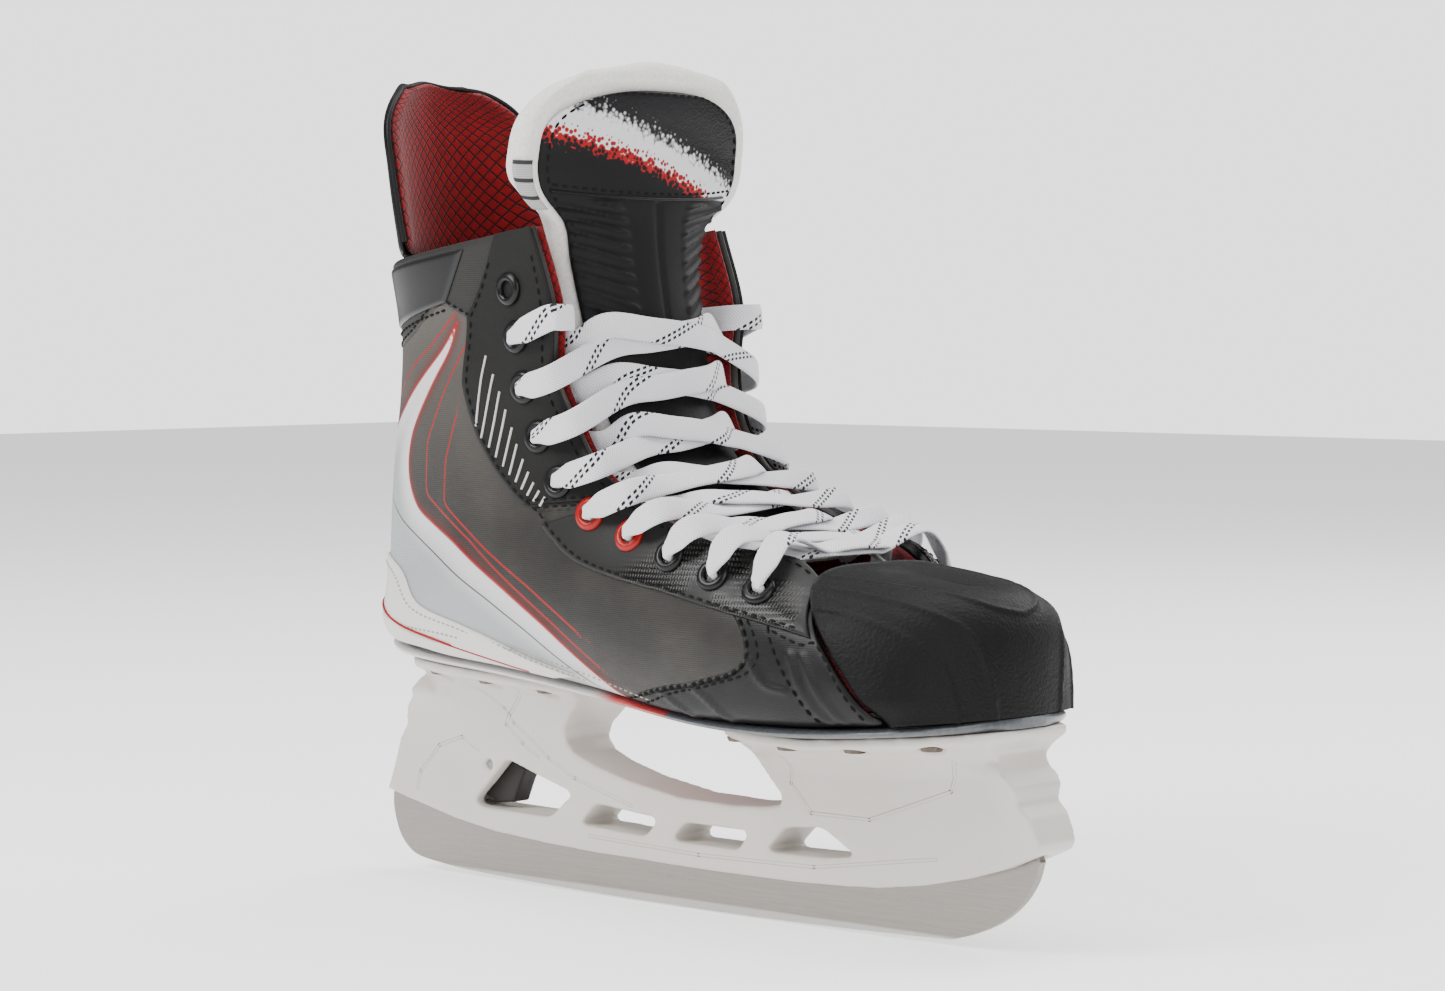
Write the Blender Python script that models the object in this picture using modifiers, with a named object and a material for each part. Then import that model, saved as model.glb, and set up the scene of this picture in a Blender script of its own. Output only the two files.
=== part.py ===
"""Ice hockey skate, right foot: boot, tongue, lace, blade holder, steel runner and its release.

+X points to the toe, +Y to the inner (medial) side and +Z up.  The ice is z = 0.  Dimensions
below are in millimetres and are scaled to metres when a mesh is made.
"""

from functools import lru_cache
from math import cos, pi, radians, sin

import bmesh
import bpy
import numpy as np
from mathutils import Matrix, Vector

MM = 0.001
GAP = 0.3             # clearance between neighbouring pieces
LAYER_GAP = 0.8       # clearance between the curved layers of the boot, which are faceted
MID_X = 2.6           # blade middle to the middle of the whole skate

# Steel runner
RUNNER_HALF_LENGTH = 144.5
RUNNER_THICKNESS = 3.0
RUNNER_FLAT = 12.0    # length of the flat resting facet under the foot's middle
ROCKER_RADIUS = 2750.0

# Boot
SHELL = 2.8           # quarter wall
FACING_THICK = 1.3
WRAP_THICK = 1.2
LINER = 1.8
PAD_HEIGHT = 5.0
SOLE_THICK = 3.2

# Eyelets and lace
EYELET_OD = 10.6
EYELET_BORE = 5.0
EYELET_BARREL = 6.6
EYELET_HOLE = 8.0
EYELET_PROUD = 1.4    # height of the flange over the facing
EYELET_DEPTH = 4.8
HOLE_INSIDE = 12.0    # reach of the holes' cutters on each side of the quarter
HOLE_OUTSIDE = 5.0
RED_EYELETS = (6, 7)
BAR_LEVEL = 0.3       # place of the lace's bottom bar along the tongue
LACE_WIDTH = 6.6
LACE_THICK = 1.3
LACE_ROUND = 2.8      # the lace bunches to this inside an eyelet
LACE_BEHIND = 3.8     # room for it behind the lining

LACE_OVER_FACING = 4.1 # height of the lace where it bends over the facing's edge
LACE_FORWARD = 4.6    # and how far past the edge
LACE_LOW, LACE_HIGH = 0.3, 2.3     # the two strands' heights over the tongue where they cross

# Axes of the joints, along Y: x, z
TRIGGER_PIVOT = (-88.0, 41.2)
TONGUE_HINGE = (-13.0, 203.0)
GUARD_HINGE = (-128.0, 213.2)

# Cross sections of the boot, from the collar down the heel and along the sole to the toe seam.
# Each row: back or bottom point (x, z), facing edge (x, z), then the half widths at the
# fractions in the matching row of FRACTIONS.
SECTIONS = (
    ((-127, 212), (-29, 225), "shaft", (0, 16, 28, 37.0, 42.5, 45.5, 46.5)),
    ((-124, 190), (-20, 199), "shaft", (0, 16, 27, 36.0, 42.0, 45.0, 46.0)),
    ((-126, 168), (-20, 177), "shaft", (0, 15, 26, 35.5, 42.0, 45.0, 44.5)),
    ((-130, 147), (-14, 161), "shaft", (0, 15, 26, 35.0, 42.0, 44.5, 41.5)),
    ((-133, 124), (-4, 147), "shaft", (0, 15, 26, 35.0, 43.0, 45.5, 41.0)),
    ((-134, 104), (7, 140), "shaft", (0, 15, 27, 36.0, 44.0, 46.0, 40.5)),
    ((-126, 86), (17, 135), "heel", (0, 18, 29, 38.0, 45.0, 46.5, 40.5)),
    ((-96, 80.5), (27, 131), "waist", (0, 18, 31, 39.5, 45.5, 47.0, 41.0)),
    ((-55, 78.5), (38, 127.5), "sole", (0, 20, 33, 40.5, 46.5, 48.0, 42.0)),
    ((-10, 74.2), (50, 124.5), "sole", (0, 22, 36, 43.0, 48.5, 48.5, 41.0)),
    ((35, 68.7), (62, 122.5), "sole", (0, 25, 40, 46.5, 50.5, 48.5, 36.0)),
    ((78, 68.5), (72, 120.0), "sole", (0, 26, 41, 47.5, 50.0, 46.5, 30.0)),
    ((116, 71.6), (80, 113.5), "sole", (0, 26, 41, 46.5, 48.5, 44.5, 29.0)),
)
FRACTIONS = {
    "shaft": (0, 0.035, 0.12, 0.27, 0.50, 0.76, 1),
    "heel": (0, 0.02, 0.07, 0.20, 0.45, 0.74, 1),
    "waist": (0, 0.0, 0.03, 0.15, 0.40, 0.72, 1),
    "sole": (0, 0.0, 0.015, 0.11, 0.36, 0.70, 1),
}

# Eyelet centres down the facing: x, z (the surface gives y)
EYELETS = ((-38.9, 204.6), (-35.8, 189.0), (-33.2, 172.7), (-27.8, 156.5), (-18.3, 142.0),
           (-4.3, 132.0), (13.4, 125.6), (32.0, 120.0), (50.0, 114.6), (67.5, 110.4))

# Middle line of the tongue's front: x, z, half width, how far the wings fall back
TONGUE_LINE = ((66, 116.5, 21, 3), (45, 122.5, 26, 4), (20, 133.5, 28, 6), (2, 147.5, 29, 10),
               (-8, 166.0, 30, 13), (-12, 186.0, 32, 15), (-15, 201.0, 33, 16),
               (-17, 214.0, 35, 16), (-18, 226.5, 39, 14), (-18, 238.0, 53, 13),
               (-17, 252.0, 55.5, 12), (-15, 266.0, 51, 10), (-14, 277.0, 32, 4))

RIVETS_REAR = (-99, -73, -47)
RIVETS_FRONT = (41, 68, 96, 122)
RIVET_INSET = 6.5     # from the flange's edge
RIVET_SHANK = 1.6     # radii
RIVET_HOLE = 2.0
RIVET_HEAD = 3.9
RIVET_RECESS = 4.5
CUT_REACH = 30.0      # half length of a cutter that goes right through
BLANK_HALF = 45.0


def catmull(rows, u):
    """Point on a smooth curve through rows of numbers; u runs from 0 to 1."""
    rows = np.asarray(rows, float)
    last = len(rows) - 1
    place = min(max(u, 0.0), 1.0) * last
    i = min(int(place), last - 1)
    f = place - i
    p1 = rows[i]
    p2 = rows[i + 1]
    p0 = rows[i - 1] if i > 0 else 2 * p1 - p2
    p3 = rows[i + 2] if i + 2 <= last else 2 * p2 - p1
    return 0.5 * (2 * p1 + (p2 - p0) * f + (2 * p0 - 5 * p1 + 4 * p2 - p3) * f ** 2
                  + (3 * p1 - p0 - 3 * p2 + p3) * f ** 3)


def section_rows():
    """Every section as rows of (x, half width, z)."""
    table = []
    for back, front, kind, widths in SECTIONS:
        rows = []
        for fraction, width in zip(FRACTIONS[kind], widths):
            rows.append((back[0] + fraction * (front[0] - back[0]), width,
                         back[1] + fraction * (front[1] - back[1])))
        table.append(rows)
    return np.asarray(table, float)


ROWS = section_rows()
TOE_SEAM = len(SECTIONS) - 1


def boot_point(s, t):
    """Outer boot surface: s is the section number, t runs from the back or sole to the facing."""
    flat = catmull(ROWS.reshape(len(ROWS), -1), s / TOE_SEAM)
    point = catmull(flat.reshape(-1, 3), t)
    point[1] = max(point[1], 0.0)
    return point


def boot_normal(s, t):
    """Unit normal of the boot surface, pointing out, on the +Y half."""
    e = 0.01
    ds = boot_point(min(s + e, TOE_SEAM), t) - boot_point(max(s - e, 0), t)
    dt = boot_point(s, min(t + e, 1)) - boot_point(s, max(t - e, 0))
    n = np.cross(dt, ds)
    n = n / max(np.linalg.norm(n), 1e-9)
    middle = np.array((-40.0, 0.0, 120.0))
    if np.dot(n, boot_point(s, t) - middle) < 0:
        n = -n
    if t < 0.02:
        n[1] = 0.0
        n = n / np.linalg.norm(n)
    return n


def boot_offset(s, t, side, depth):
    """Boot surface moved inwards by depth; side is -1 for the outer (lateral) half."""
    p = boot_point(s, t) - boot_normal(s, t) * depth
    return np.array((p[0], side * max(p[1], 0.0), p[2]))


def boot_place(x, z):
    """Section number and fraction of the point of the boot's side nearest to (x, z)."""
    best = (1e9, 0, 0)
    for s in np.linspace(0, TOE_SEAM, 49):
        for t in np.linspace(0.75, 1, 13):
            p = boot_point(s, t)
            gap = (p[0] - x) ** 2 + (p[2] - z) ** 2
            if gap < best[0]:
                best = (gap, s, t)
    step_s, step_t = 0.15, 0.015
    for _ in range(22):
        for ds in (-step_s, 0, step_s):
            for dt in (-step_t, 0, step_t):
                s = min(max(best[1] + ds, 0), TOE_SEAM)
                t = min(max(best[2] + dt, 0), 1)
                p = boot_point(s, t)
                gap = (p[0] - x) ** 2 + (p[2] - z) ** 2
                if gap < best[0]:
                    best = (gap, s, t)
        step_s *= 0.8
        step_t *= 0.8
    return best[1], best[2]


def metres(point):
    """Millimetres about the blade's middle to metres about the skate's middle."""
    return ((point[0] - MID_X) * MM, point[1] * MM, point[2] * MM)


def fresh_scene():
    """Empty the scene and give back the part and cutter collections."""
    for obj in list(bpy.data.objects):
        bpy.data.objects.remove(obj)
    found = []
    for name in ("hockey_skate", "cutters"):
        group = bpy.data.collections.new(name)
        bpy.context.scene.collection.children.link(group)
        found.append(group)
    return found


PART, CUTTERS = fresh_scene()


def finish_material(name, colour, roughness, metallic=0.0):
    """Principled material with one colour."""
    material = bpy.data.materials.get(name)
    if material is None:
        material = bpy.data.materials.new(name)
        material.use_nodes = True
        shader = material.node_tree.nodes["Principled BSDF"]
        shader.inputs["Base Color"].default_value = (*colour, 1)
        shader.inputs["Roughness"].default_value = roughness
        shader.inputs["Metallic"].default_value = metallic
        material.diffuse_color = (*colour, 1)
    return material


SHELL_GREY = finish_material("shell_grey", (0.075, 0.072, 0.068), 0.5)
BLACK_SYNTHETIC = finish_material("black_synthetic", (0.012, 0.012, 0.013), 0.5)
TOE_BLACK = finish_material("toe_plastic", (0.016, 0.016, 0.017), 0.6)
HEEL_WHITE = finish_material("heel_white", (0.72, 0.70, 0.67), 0.55)
RED_LINING = finish_material("red_lining", (0.35, 0.008, 0.012), 0.85)
FOAM = finish_material("foam", (0.3, 0.3, 0.3), 0.9)
SOLE_DARK = finish_material("sole_dark", (0.03, 0.032, 0.036), 0.45)
FELT_WHITE = finish_material("felt_white", (0.72, 0.70, 0.66), 0.95)
HOLDER_WHITE = finish_material("holder_white", (0.74, 0.71, 0.67), 0.35)
STEEL = finish_material("runner_steel", (0.55, 0.53, 0.50), 0.35, 1.0)
TRIGGER_GREY = finish_material("trigger_grey", (0.07, 0.065, 0.062), 0.5)
EYELET_BLACK = finish_material("eyelet_black", (0.015, 0.015, 0.016), 0.35)
EYELET_RED = finish_material("eyelet_red", (0.45, 0.01, 0.012), 0.35)
RIVET_METAL = finish_material("rivet_metal", (0.35, 0.2, 0.13), 0.4, 1.0)
LACE_WHITE = finish_material("lace_white", (0.75, 0.75, 0.77), 0.9)


def mesh_object(name, bm, material, pivot=(MID_X, 0, 0), collection=None):
    """Object from a bmesh in metres, with its origin at a pivot given in millimetres."""
    origin = Vector(metres(pivot))
    bmesh.ops.translate(bm, verts=bm.verts, vec=-origin)
    bmesh.ops.recalc_face_normals(bm, faces=bm.faces)
    mesh = bpy.data.meshes.new(name)
    bm.to_mesh(mesh)
    bm.free()
    if material is not None:
        mesh.materials.append(material)
    mesh.shade_smooth()
    mesh.set_sharp_from_angle(angle=radians(35))
    obj = bpy.data.objects.new(name, mesh)
    obj.location = origin
    (collection or PART).objects.link(obj)
    return obj


def grid_normals(grid):
    """Unit normals of a grid of points, by differences along both directions."""
    along = np.gradient(grid, axis=0)
    across = np.gradient(grid, axis=1)
    n = np.cross(along, across)
    size = np.linalg.norm(n, axis=2, keepdims=True)
    return n / np.maximum(size, 1e-9)


def between_grids(name, outer, inner, material, pivot=(MID_X, 0, 0), folded=False):
    """Closed solid between two grids of the same size; a folded one meets itself at its end."""
    bm = bmesh.new()
    layers = []
    for grid in (outer, inner):
        layers.append([[bm.verts.new(metres(p)) for p in row] for row in grid])
    top, low = layers
    rows = len(top)
    columns = len(top[0])
    for i in range(rows - 1):
        for j in range(columns - 1):
            bm.faces.new((top[i][j], top[i + 1][j], top[i + 1][j + 1], top[i][j + 1]))
            bm.faces.new((low[i][j], low[i][j + 1], low[i + 1][j + 1], low[i + 1][j]))
    for i in range(rows - 1):
        for j in (0,) if folded else (0, columns - 1):
            bm.faces.new((top[i][j], low[i][j], low[i + 1][j], top[i + 1][j]))
    for j in range(columns - 1):
        for i in (0, rows - 1):
            bm.faces.new((top[i][j], top[i][j + 1], low[i][j + 1], low[i][j]))
    bmesh.ops.remove_doubles(bm, verts=bm.verts, dist=0.02 * MM)
    flat = [f for f in bm.faces if f.calc_area() < 1e-12]
    bmesh.ops.delete(bm, geom=flat, context="FACES_ONLY")
    return mesh_object(name, bm, material, pivot)


def boot_layer(name, side, place, outer, inner, material, counts):
    """Solid between two depths of the boot's side; place gives (s, t) for (a, b) in 0..1."""
    grids = []
    for depth in (outer, inner):
        rows = []
        for a in np.linspace(0, 1, counts[0]):
            row = []
            for b in np.linspace(0, 1, counts[1]):
                s, t = place(a, b)
                d = depth(s, t) if callable(depth) else depth
                p = boot_offset(s, abs(t), side if t >= 0 else -side, d)
                if abs(t) < 1e-6 and place(a, 0)[1] < 0:
                    p[1] = 0.0
                elif abs(p[1]) < GAP / 2:
                    p[1] = side * GAP / 2
                row.append(p)
            rows.append(row)
        grids.append(np.array(rows))
    return between_grids(name, grids[0], grids[1], material)


def prism(name, outlines, half, material, pivot=(MID_X, 0, 0), offset=0.0, collection=None):
    """Flat piece in the XZ plane: the first outline is its edge and the others are holes."""
    curve = bpy.data.curves.new(name, "CURVE")
    curve.dimensions = "2D"
    curve.fill_mode = "BOTH"
    curve.extrude = half * MM
    for outline in outlines:
        spline = curve.splines.new("POLY")
        spline.points.add(len(outline) - 1)
        for point, (x, z) in zip(spline.points, outline):
            point.co = ((x - MID_X) * MM, z * MM, 0, 1)
        spline.use_cyclic_u = True
    obj = bpy.data.objects.new(name, curve)
    obj.matrix_world = Matrix.Translation((0, offset * MM, 0)) @ Matrix.Rotation(pi / 2, 4, "X")
    PART.objects.link(obj)
    return solid_from_curve(obj, material, pivot, collection)


def solid_from_curve(obj, material, pivot=(MID_X, 0, 0), collection=None):
    """Mesh object from a curve object, with its caps welded; the curve is removed."""
    bpy.context.view_layer.update()
    graph = bpy.context.evaluated_depsgraph_get()
    mesh = bpy.data.meshes.new_from_object(obj.evaluated_get(graph))
    bm = bmesh.new()
    bm.from_mesh(mesh)
    bm.transform(obj.matrix_world)
    bmesh.ops.remove_doubles(bm, verts=bm.verts, dist=0.005 * MM)
    name = obj.name
    bpy.data.objects.remove(obj)
    return mesh_object(name, bm, material, pivot, collection)


def cylinder(name, start, end, radius, sides=10, material=None, collection=None):
    """Cylinder between two points in millimetres."""
    a = Vector(metres(start))
    b = Vector(metres(end))
    axis = b - a
    turn = axis.to_track_quat("Z", "Y").to_matrix().to_4x4()
    bm = bmesh.new()
    bmesh.ops.create_cone(bm, cap_ends=True, segments=sides, radius1=radius * MM,
                          radius2=radius * MM, depth=axis.length,
                          matrix=Matrix.Translation((a + b) / 2) @ turn)
    return mesh_object(name, bm, material, (MID_X, 0, 0), collection or PART)


def turned(name, profile, place, axis, material, sides=12):
    """Turned piece: a (radius, height) profile, top to bottom on the outside, on an axis."""
    bm = bmesh.new()
    verts = [bm.verts.new((r * MM, 0, z * MM)) for r, z in profile]
    closed = list(zip(verts, verts[1:] + verts[:1]))
    if profile[0][0] < 1e-6:
        closed = closed[:-1]
    for a, b in closed:
        bm.edges.new((a, b))
    mesh = bpy.data.meshes.new(name)
    bm.to_mesh(mesh)
    bm.free()
    mesh.materials.append(material)
    obj = bpy.data.objects.new(name, mesh)
    turn = Vector(axis).to_track_quat("Z", "Y").to_matrix().to_4x4()
    obj.matrix_world = Matrix.Translation(metres(place)) @ turn
    screw = obj.modifiers.new("turn", "SCREW")
    screw.steps = sides
    screw.render_steps = sides
    screw.use_merge_vertices = True
    screw.merge_threshold = 0.00001
    PART.objects.link(obj)
    return obj


def combine(obj, tools, operation):
    """Apply exact booleans with each tool in turn and remove the tools."""
    for tool in tools:
        change = obj.modifiers.new("combine", "BOOLEAN")
        change.operation = operation
        change.solver = "EXACT"
        change.object = tool
    bpy.context.view_layer.update()
    graph = bpy.context.evaluated_depsgraph_get()
    mesh = bpy.data.meshes.new_from_object(obj.evaluated_get(graph))
    obj.modifiers.clear()
    old = obj.data
    obj.data = mesh
    mesh.name = obj.name
    bpy.data.meshes.remove(old)
    for tool in tools:
        bpy.data.objects.remove(tool)
    return obj


# ---------------------------------------------------------------- runner, holder, trigger

RUNNER_PIVOT = (141.0, 32.0)
SOLE_LINE = ((-136, 83.0), (-122, 79.2), (-96, 77.3), (-55, 75.3), (-10, 71.0), (35, 65.5),
             (78, 65.3), (116, 68.4), (142, 70.5))
FLANGE_THICK = 3.0

# Rear edge of the holder: three steps down from the flange to the heel of the rail
REAR_EDGE = ((-118, 82), (-118.5, 73), (-122, 69), (-123.5, 62.5), (-127.5, 59), (-128.5, 52),
             (-132.5, 47.5), (-136, 37), (-139.5, 28.4))
RAIL_EDGE = ((-127, 25.4), (-106, 20.8), (-86, 18), (-62, 16.4), (-38, 15.4), (14, 14.6),
             (50, 14.7), (68, 15.3), (86, 16.4), (104, 19), (122, 23), (136, 27.4),
             (149, 33.2))
FRONT_EDGE = ((150.2, 36.2), (146.5, 44), (142.5, 47.5), (142.3, 53), (138, 57.5), (136.3, 63.5),
              (140, 67.5), (141, 80))
ARCH = ((34, 84), (38, 57.5), (44, 47.5), (47.5, 42.5), (46.5, 39.5), (40, 38.3), (26, 37.3),
        (2, 37.8), (-22, 41.4), (-37, 45.2), (-46, 48.8), (-49.2, 52.5), (-48.6, 57),
        (-43.5, 63), (-36, 68.5), (-30, 84))
WINDOWS = (
    ((-95.5, 27.8), (-93, 30.5), (-80.5, 42.6), (-77.5, 43.3), (-68, 40.4), (-50, 35.4),
     (-48.6, 33.9), (-57.5, 26.6), (-60.5, 25.6), (-92, 26.2)),
    ((-43.6, 25.6), (-38, 31.2), (-35.5, 32), (-10, 29.9), (-9.2, 28.6), (-13.4, 24.2),
     (-15.5, 23.4), (-42.5, 24.4)),
    ((-1.2, 24.6), (3, 28.8), (5, 29.5), (30.5, 29.3), (31.4, 28), (27.8, 23.6), (26, 22.8),
     (0, 22.9)),
    ((40.2, 24.8), (46.5, 31), (48.5, 32), (62, 33.4), (64.5, 32.9), (75.5, 26.6), (75.6, 25.3),
     (66, 24), (42, 23.4)),
)


def sole_height(x):
    """Height of the boot's underside along its middle line."""
    return float(np.interp(x, [p[0] for p in SOLE_LINE], [p[1] for p in SOLE_LINE]))


def flange_half(x):
    """Half width of the holder's flanges: one under the heel, one under the forefoot."""
    rear = np.interp(x, (-120, -116, -104, -80, -50, -36, -28), (14, 21, 27, 30, 29, 25, 16))
    front = np.interp(x, (32, 40, 56, 80, 104, 122, 134, 141), (20, 30, 36, 38.5, 38, 33, 24, 15))
    return float(rear if x < 0 else front)


def holder_half(x, z):
    """Half width of the holder at a height: a narrow rail that flares into the flanges."""
    below = sole_height(x) - z
    wide = flange_half(x)
    return float(np.interp(below, (0, FLANGE_THICK, 5.5, 9, 14, 22, 34, 60),
                           (wide, wide, wide * 0.76, wide * 0.56, 13.5, 11, 9.6, 8.6)))


def holder_envelope():
    """Solid whose width follows holder_half; the side outline is cut from it."""
    bm = bmesh.new()
    stations = list(np.linspace(-142, -30, 11)) + list(np.linspace(-10, 30, 2))
    stations += list(np.linspace(38, 153, 12))
    drops = (0, FLANGE_THICK, 5.5, 9, 14, 22, 34)
    rings = []
    for x in stations:
        top = sole_height(x)
        levels = [top - d for d in drops] + [12.0]
        right = [(x, -holder_half(x, z), z) for z in levels]
        left = [(x, holder_half(x, z), z) for z in reversed(levels)]
        rings.append([bm.verts.new(metres(p)) for p in right + left])
    for a, b in zip(rings, rings[1:]):
        for i in range(len(a)):
            j = (i + 1) % len(a)
            bm.faces.new((a[i], b[i], b[j], a[j]))
    bm.faces.new(rings[0])
    bm.faces.new(reversed(rings[-1]))
    return mesh_object("envelope", bm, HOLDER_WHITE, collection=CUTTERS)


def runner_bottom():
    """Sharpened edge of the runner: a long rocker with a short flat and rounded ends."""
    half = RUNNER_FLAT / 2
    reach = 106.0
    rocker = []
    for x in np.linspace(half, reach, 7)[1:]:
        rocker.append((x, ROCKER_RADIUS - (ROCKER_RADIUS ** 2 - (x - half) ** 2) ** 0.5))
    tip = [(118, 4.6), (128, 8.6), (136.5, 15), (142, 22.5), (RUNNER_HALF_LENGTH, 29.5)]
    heel = [(-RUNNER_HALF_LENGTH, 25.5), (-144.2, 20), (-141.4, 11.8), (-136.6, 6.5),
            (-129.7, 3.9)]
    left = [(-x, z) for x, z in reversed(rocker)]
    return heel + left + [(-half, 0), (half, 0)] + rocker + tip


def runner_top():
    """Top of the runner, held inside the rail, with the tab that the trigger locks."""
    return [(143.0, 33.0), (137, 33.0), (122, 29.5), (104, 25.5), (86, 22.5), (66, 20.6),
            (30, 19.8), (-30, 20.0), (-62, 21.5), (-86, 23.2), (-99.5, 24.8), (-100.5, 36.0),
            (-106.5, 36.0), (-108.0, 26.5), (-127, 31), (-137, 33), (-143, 31)]


def slot_outline():
    """Room for the runner in the rail, open below."""
    top = [(x, z + 0.6) for x, z in runner_top()]
    top[0] = (145.4, 33.9)
    top[-2:] = [(-137, 33.8), (-145.6, 33.4)]
    top[10] = (-99.1, 25.2)
    top[11] = (-99.9, 37.0)
    top[12] = (-107.6, 37.0)
    top[13] = (-109.2, 27.2)
    return [(-145.6, 5), (145.4, 5)] + top


def build_runner():
    """Steel runner."""
    outline = runner_bottom() + runner_top()
    return prism("steel_runner", [outline], RUNNER_THICKNESS / 2, STEEL,
                 pivot=(RUNNER_PIVOT[0], 0, RUNNER_PIVOT[1]))


TRIGGER_EDGE = ((-95.5, 37), (-91.8, 43.5), (-88, 45.2), (-84, 44.6), (-75.5, 40.2), (-77.8, 36),
                (-79.8, 31.5), (-81.2, 28.2), (-88, 27.6), (-95.2, 29.5))
TRIGGER_ROOM = ((-99.1, 38.5), (-98.6, 26.4), (-85, 25.7), (-78, 27), (-72, 41.2),
                (-79.5, 45.4), (-84, 47.2), (-89.5, 47.6), (-94.5, 45))


SPRING_EDGE = ((-98.6, 27.4), (-98.0, 27.4), (-97.7, 33), (-98.2, 38), (-98.8, 38), (-98.3, 33))
TRIGGER_HALF = 3.9    # half widths across the skate
POCKET_HALF = 4.4
SPRING_HALF = 2.5
PIN_RADIUS = 1.5
PIN_HALF_LENGTH = 8.2
PIN_PLAY = 0.35       # clearance of the pin in the holder, then in the lever
LEVER_PLAY = 0.4


def build_trigger():
    """Release trigger, its pin and its return spring, in a pocket of the rear tower."""
    x, z = TRIGGER_PIVOT
    lever = prism("release_trigger", [TRIGGER_EDGE], TRIGGER_HALF, TRIGGER_GREY, pivot=(x, 0, z))
    hole = cylinder("hole", (x, -PIN_HALF_LENGTH, z), (x, PIN_HALF_LENGTH, z),
                    PIN_RADIUS + LEVER_PLAY, collection=CUTTERS)
    combine(lever, [hole], "DIFFERENCE")
    cylinder("trigger_pin", (x, -PIN_HALF_LENGTH, z), (x, PIN_HALF_LENGTH, z), PIN_RADIUS, 12,
             STEEL)
    prism("trigger_spring", [SPRING_EDGE], SPRING_HALF, STEEL)


def rivet_places():
    """Name, x and y of every rivet."""
    for label, columns in (("rear", RIVETS_REAR), ("front", RIVETS_FRONT)):
        for i, x in enumerate(columns, 1):
            y = flange_half(x) - RIVET_INSET
            for side_name, side in (("lateral", -1), ("medial", 1)):
                yield f"rivet_{label}_{side_name}_{i}", x, side * y


def rivet_cutters(radius, low, high):
    """Upright cutters at every rivet, between two heights about the boot's underside."""
    found = []
    for _, x, y in rivet_places():
        base = sole_height(x)
        found.append(cylinder("rivet_hole", (x, y, base + low), (x, y, base + high), radius, 7,
                              collection=CUTTERS))
    return found


def build_rivets():
    """Rivets through flange, outsole and board, heads in the flange's recesses."""
    for name, x, y in rivet_places():
        base = sole_height(x)
        head = base - FLANGE_THICK - GAP
        top = SOLE_STACK + 0.6
        under = head - base
        profile = [(0, top), (RIVET_SHANK, top), (RIVET_SHANK, under), (RIVET_HEAD, under),
                   (RIVET_HEAD - 0.7, under - 1.5), (0, under - 1.7)]
        turned(name, profile, (x, y, base), (0, 0, 1), RIVET_METAL, sides=7)


def build_holder():
    """One moulding: two towers with flanges, a rail that grips the runner, and the bridge."""
    side = list(REAR_EDGE) + list(RAIL_EDGE) + list(FRONT_EDGE) + list(ARCH)
    body = holder_envelope()
    blank = prism("blank", [side] + list(WINDOWS), BLANK_HALF, HOLDER_WHITE, collection=CUTTERS)
    combine(body, [blank], "INTERSECT")
    cutters = [prism("slot", [slot_outline()], RUNNER_THICKNESS / 2 + GAP, None,
                     collection=CUTTERS),
               prism("pocket", [TRIGGER_ROOM], POCKET_HALF, None, collection=CUTTERS),
               cylinder("pin_hole", (TRIGGER_PIVOT[0], -CUT_REACH, TRIGGER_PIVOT[1]),
                        (TRIGGER_PIVOT[0], CUT_REACH, TRIGGER_PIVOT[1]), PIN_RADIUS + PIN_PLAY,
                        collection=CUTTERS)]
    combine(body, cutters, "DIFFERENCE")
    combine(body, rivet_cutters(RIVET_RECESS, -14, -FLANGE_THICK), "DIFFERENCE")
    combine(body, rivet_cutters(RIVET_HOLE, -6, 4), "DIFFERENCE")
    body.name = "blade_holder"
    body.data.name = "blade_holder"
    CUTTERS.objects.unlink(body)
    PART.objects.link(body)
    body.data.materials.clear()
    body.data.materials.append(HOLDER_WHITE)
    return body


# ---------------------------------------------------------------- sole

SOLE_STACK = 7.8      # outsole, quarter margin and board together
SOLE_HALF = ((-131, 13), (-126, 22), (-112, 29.5), (-90, 32.5), (-60, 34), (-25, 35.5), (10, 38),
             (45, 43), (80, 46.5), (110, 47), (122, 43), (131, 34), (137.5, 21), (140, 8))


def plan_slab(name, inset, ends, low, high, material, rounding=1.0):
    """Plate that follows the sole: its outline inset at the sides and ends, between heights."""
    bm = bmesh.new()
    first, last = SOLE_HALF[0][0] + ends, SOLE_HALF[-1][0] - ends
    xs = [p[0] for p in SOLE_HALF]
    ws = [p[1] for p in SOLE_HALF]
    stations = first + (last - first) * (1 - np.cos(np.linspace(0, pi, 15))) / 2
    rings = []
    for x in stations:
        grow = (x - (first + last) / 2) / (last - first)
        w = float(np.interp(x + 2 * ends * grow, xs, ws)) - inset
        w = max(w, 3.0)
        z = sole_height(x)
        ring = [(x, -w, z + low + rounding), (x, -w + rounding, z + low),
                (x, w - rounding, z + low), (x, w, z + low + rounding), (x, w, z + high),
                (x, -w, z + high)]
        rings.append([bm.verts.new(metres(p)) for p in ring])
    for a, b in zip(rings, rings[1:]):
        for i in range(len(a)):
            j = (i + 1) % len(a)
            bm.faces.new((a[i], b[i], b[j], a[j]))
    bm.faces.new(rings[0])
    bm.faces.new(reversed(rings[-1]))
    return mesh_object(name, bm, material)


def build_sole():
    """Outsole, insole board and footbed."""
    outsole = plan_slab("outsole", -0.6, -0.6, GAP, 2.9, SOLE_DARK)
    combine(outsole, rivet_cutters(RIVET_HOLE, -2, 6), "DIFFERENCE")
    board = plan_slab("insole_board", 7.0, 12.0, 6.4, 7.8, FOAM, rounding=0.4)
    combine(board, rivet_cutters(RIVET_HOLE, 4, 9), "DIFFERENCE")
    plan_slab("footbed", 8.5, 14.0, SOLE_STACK + 1.2, SOLE_STACK + 5.2, FOAM, rounding=1.2)


# ---------------------------------------------------------------- boot

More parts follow.
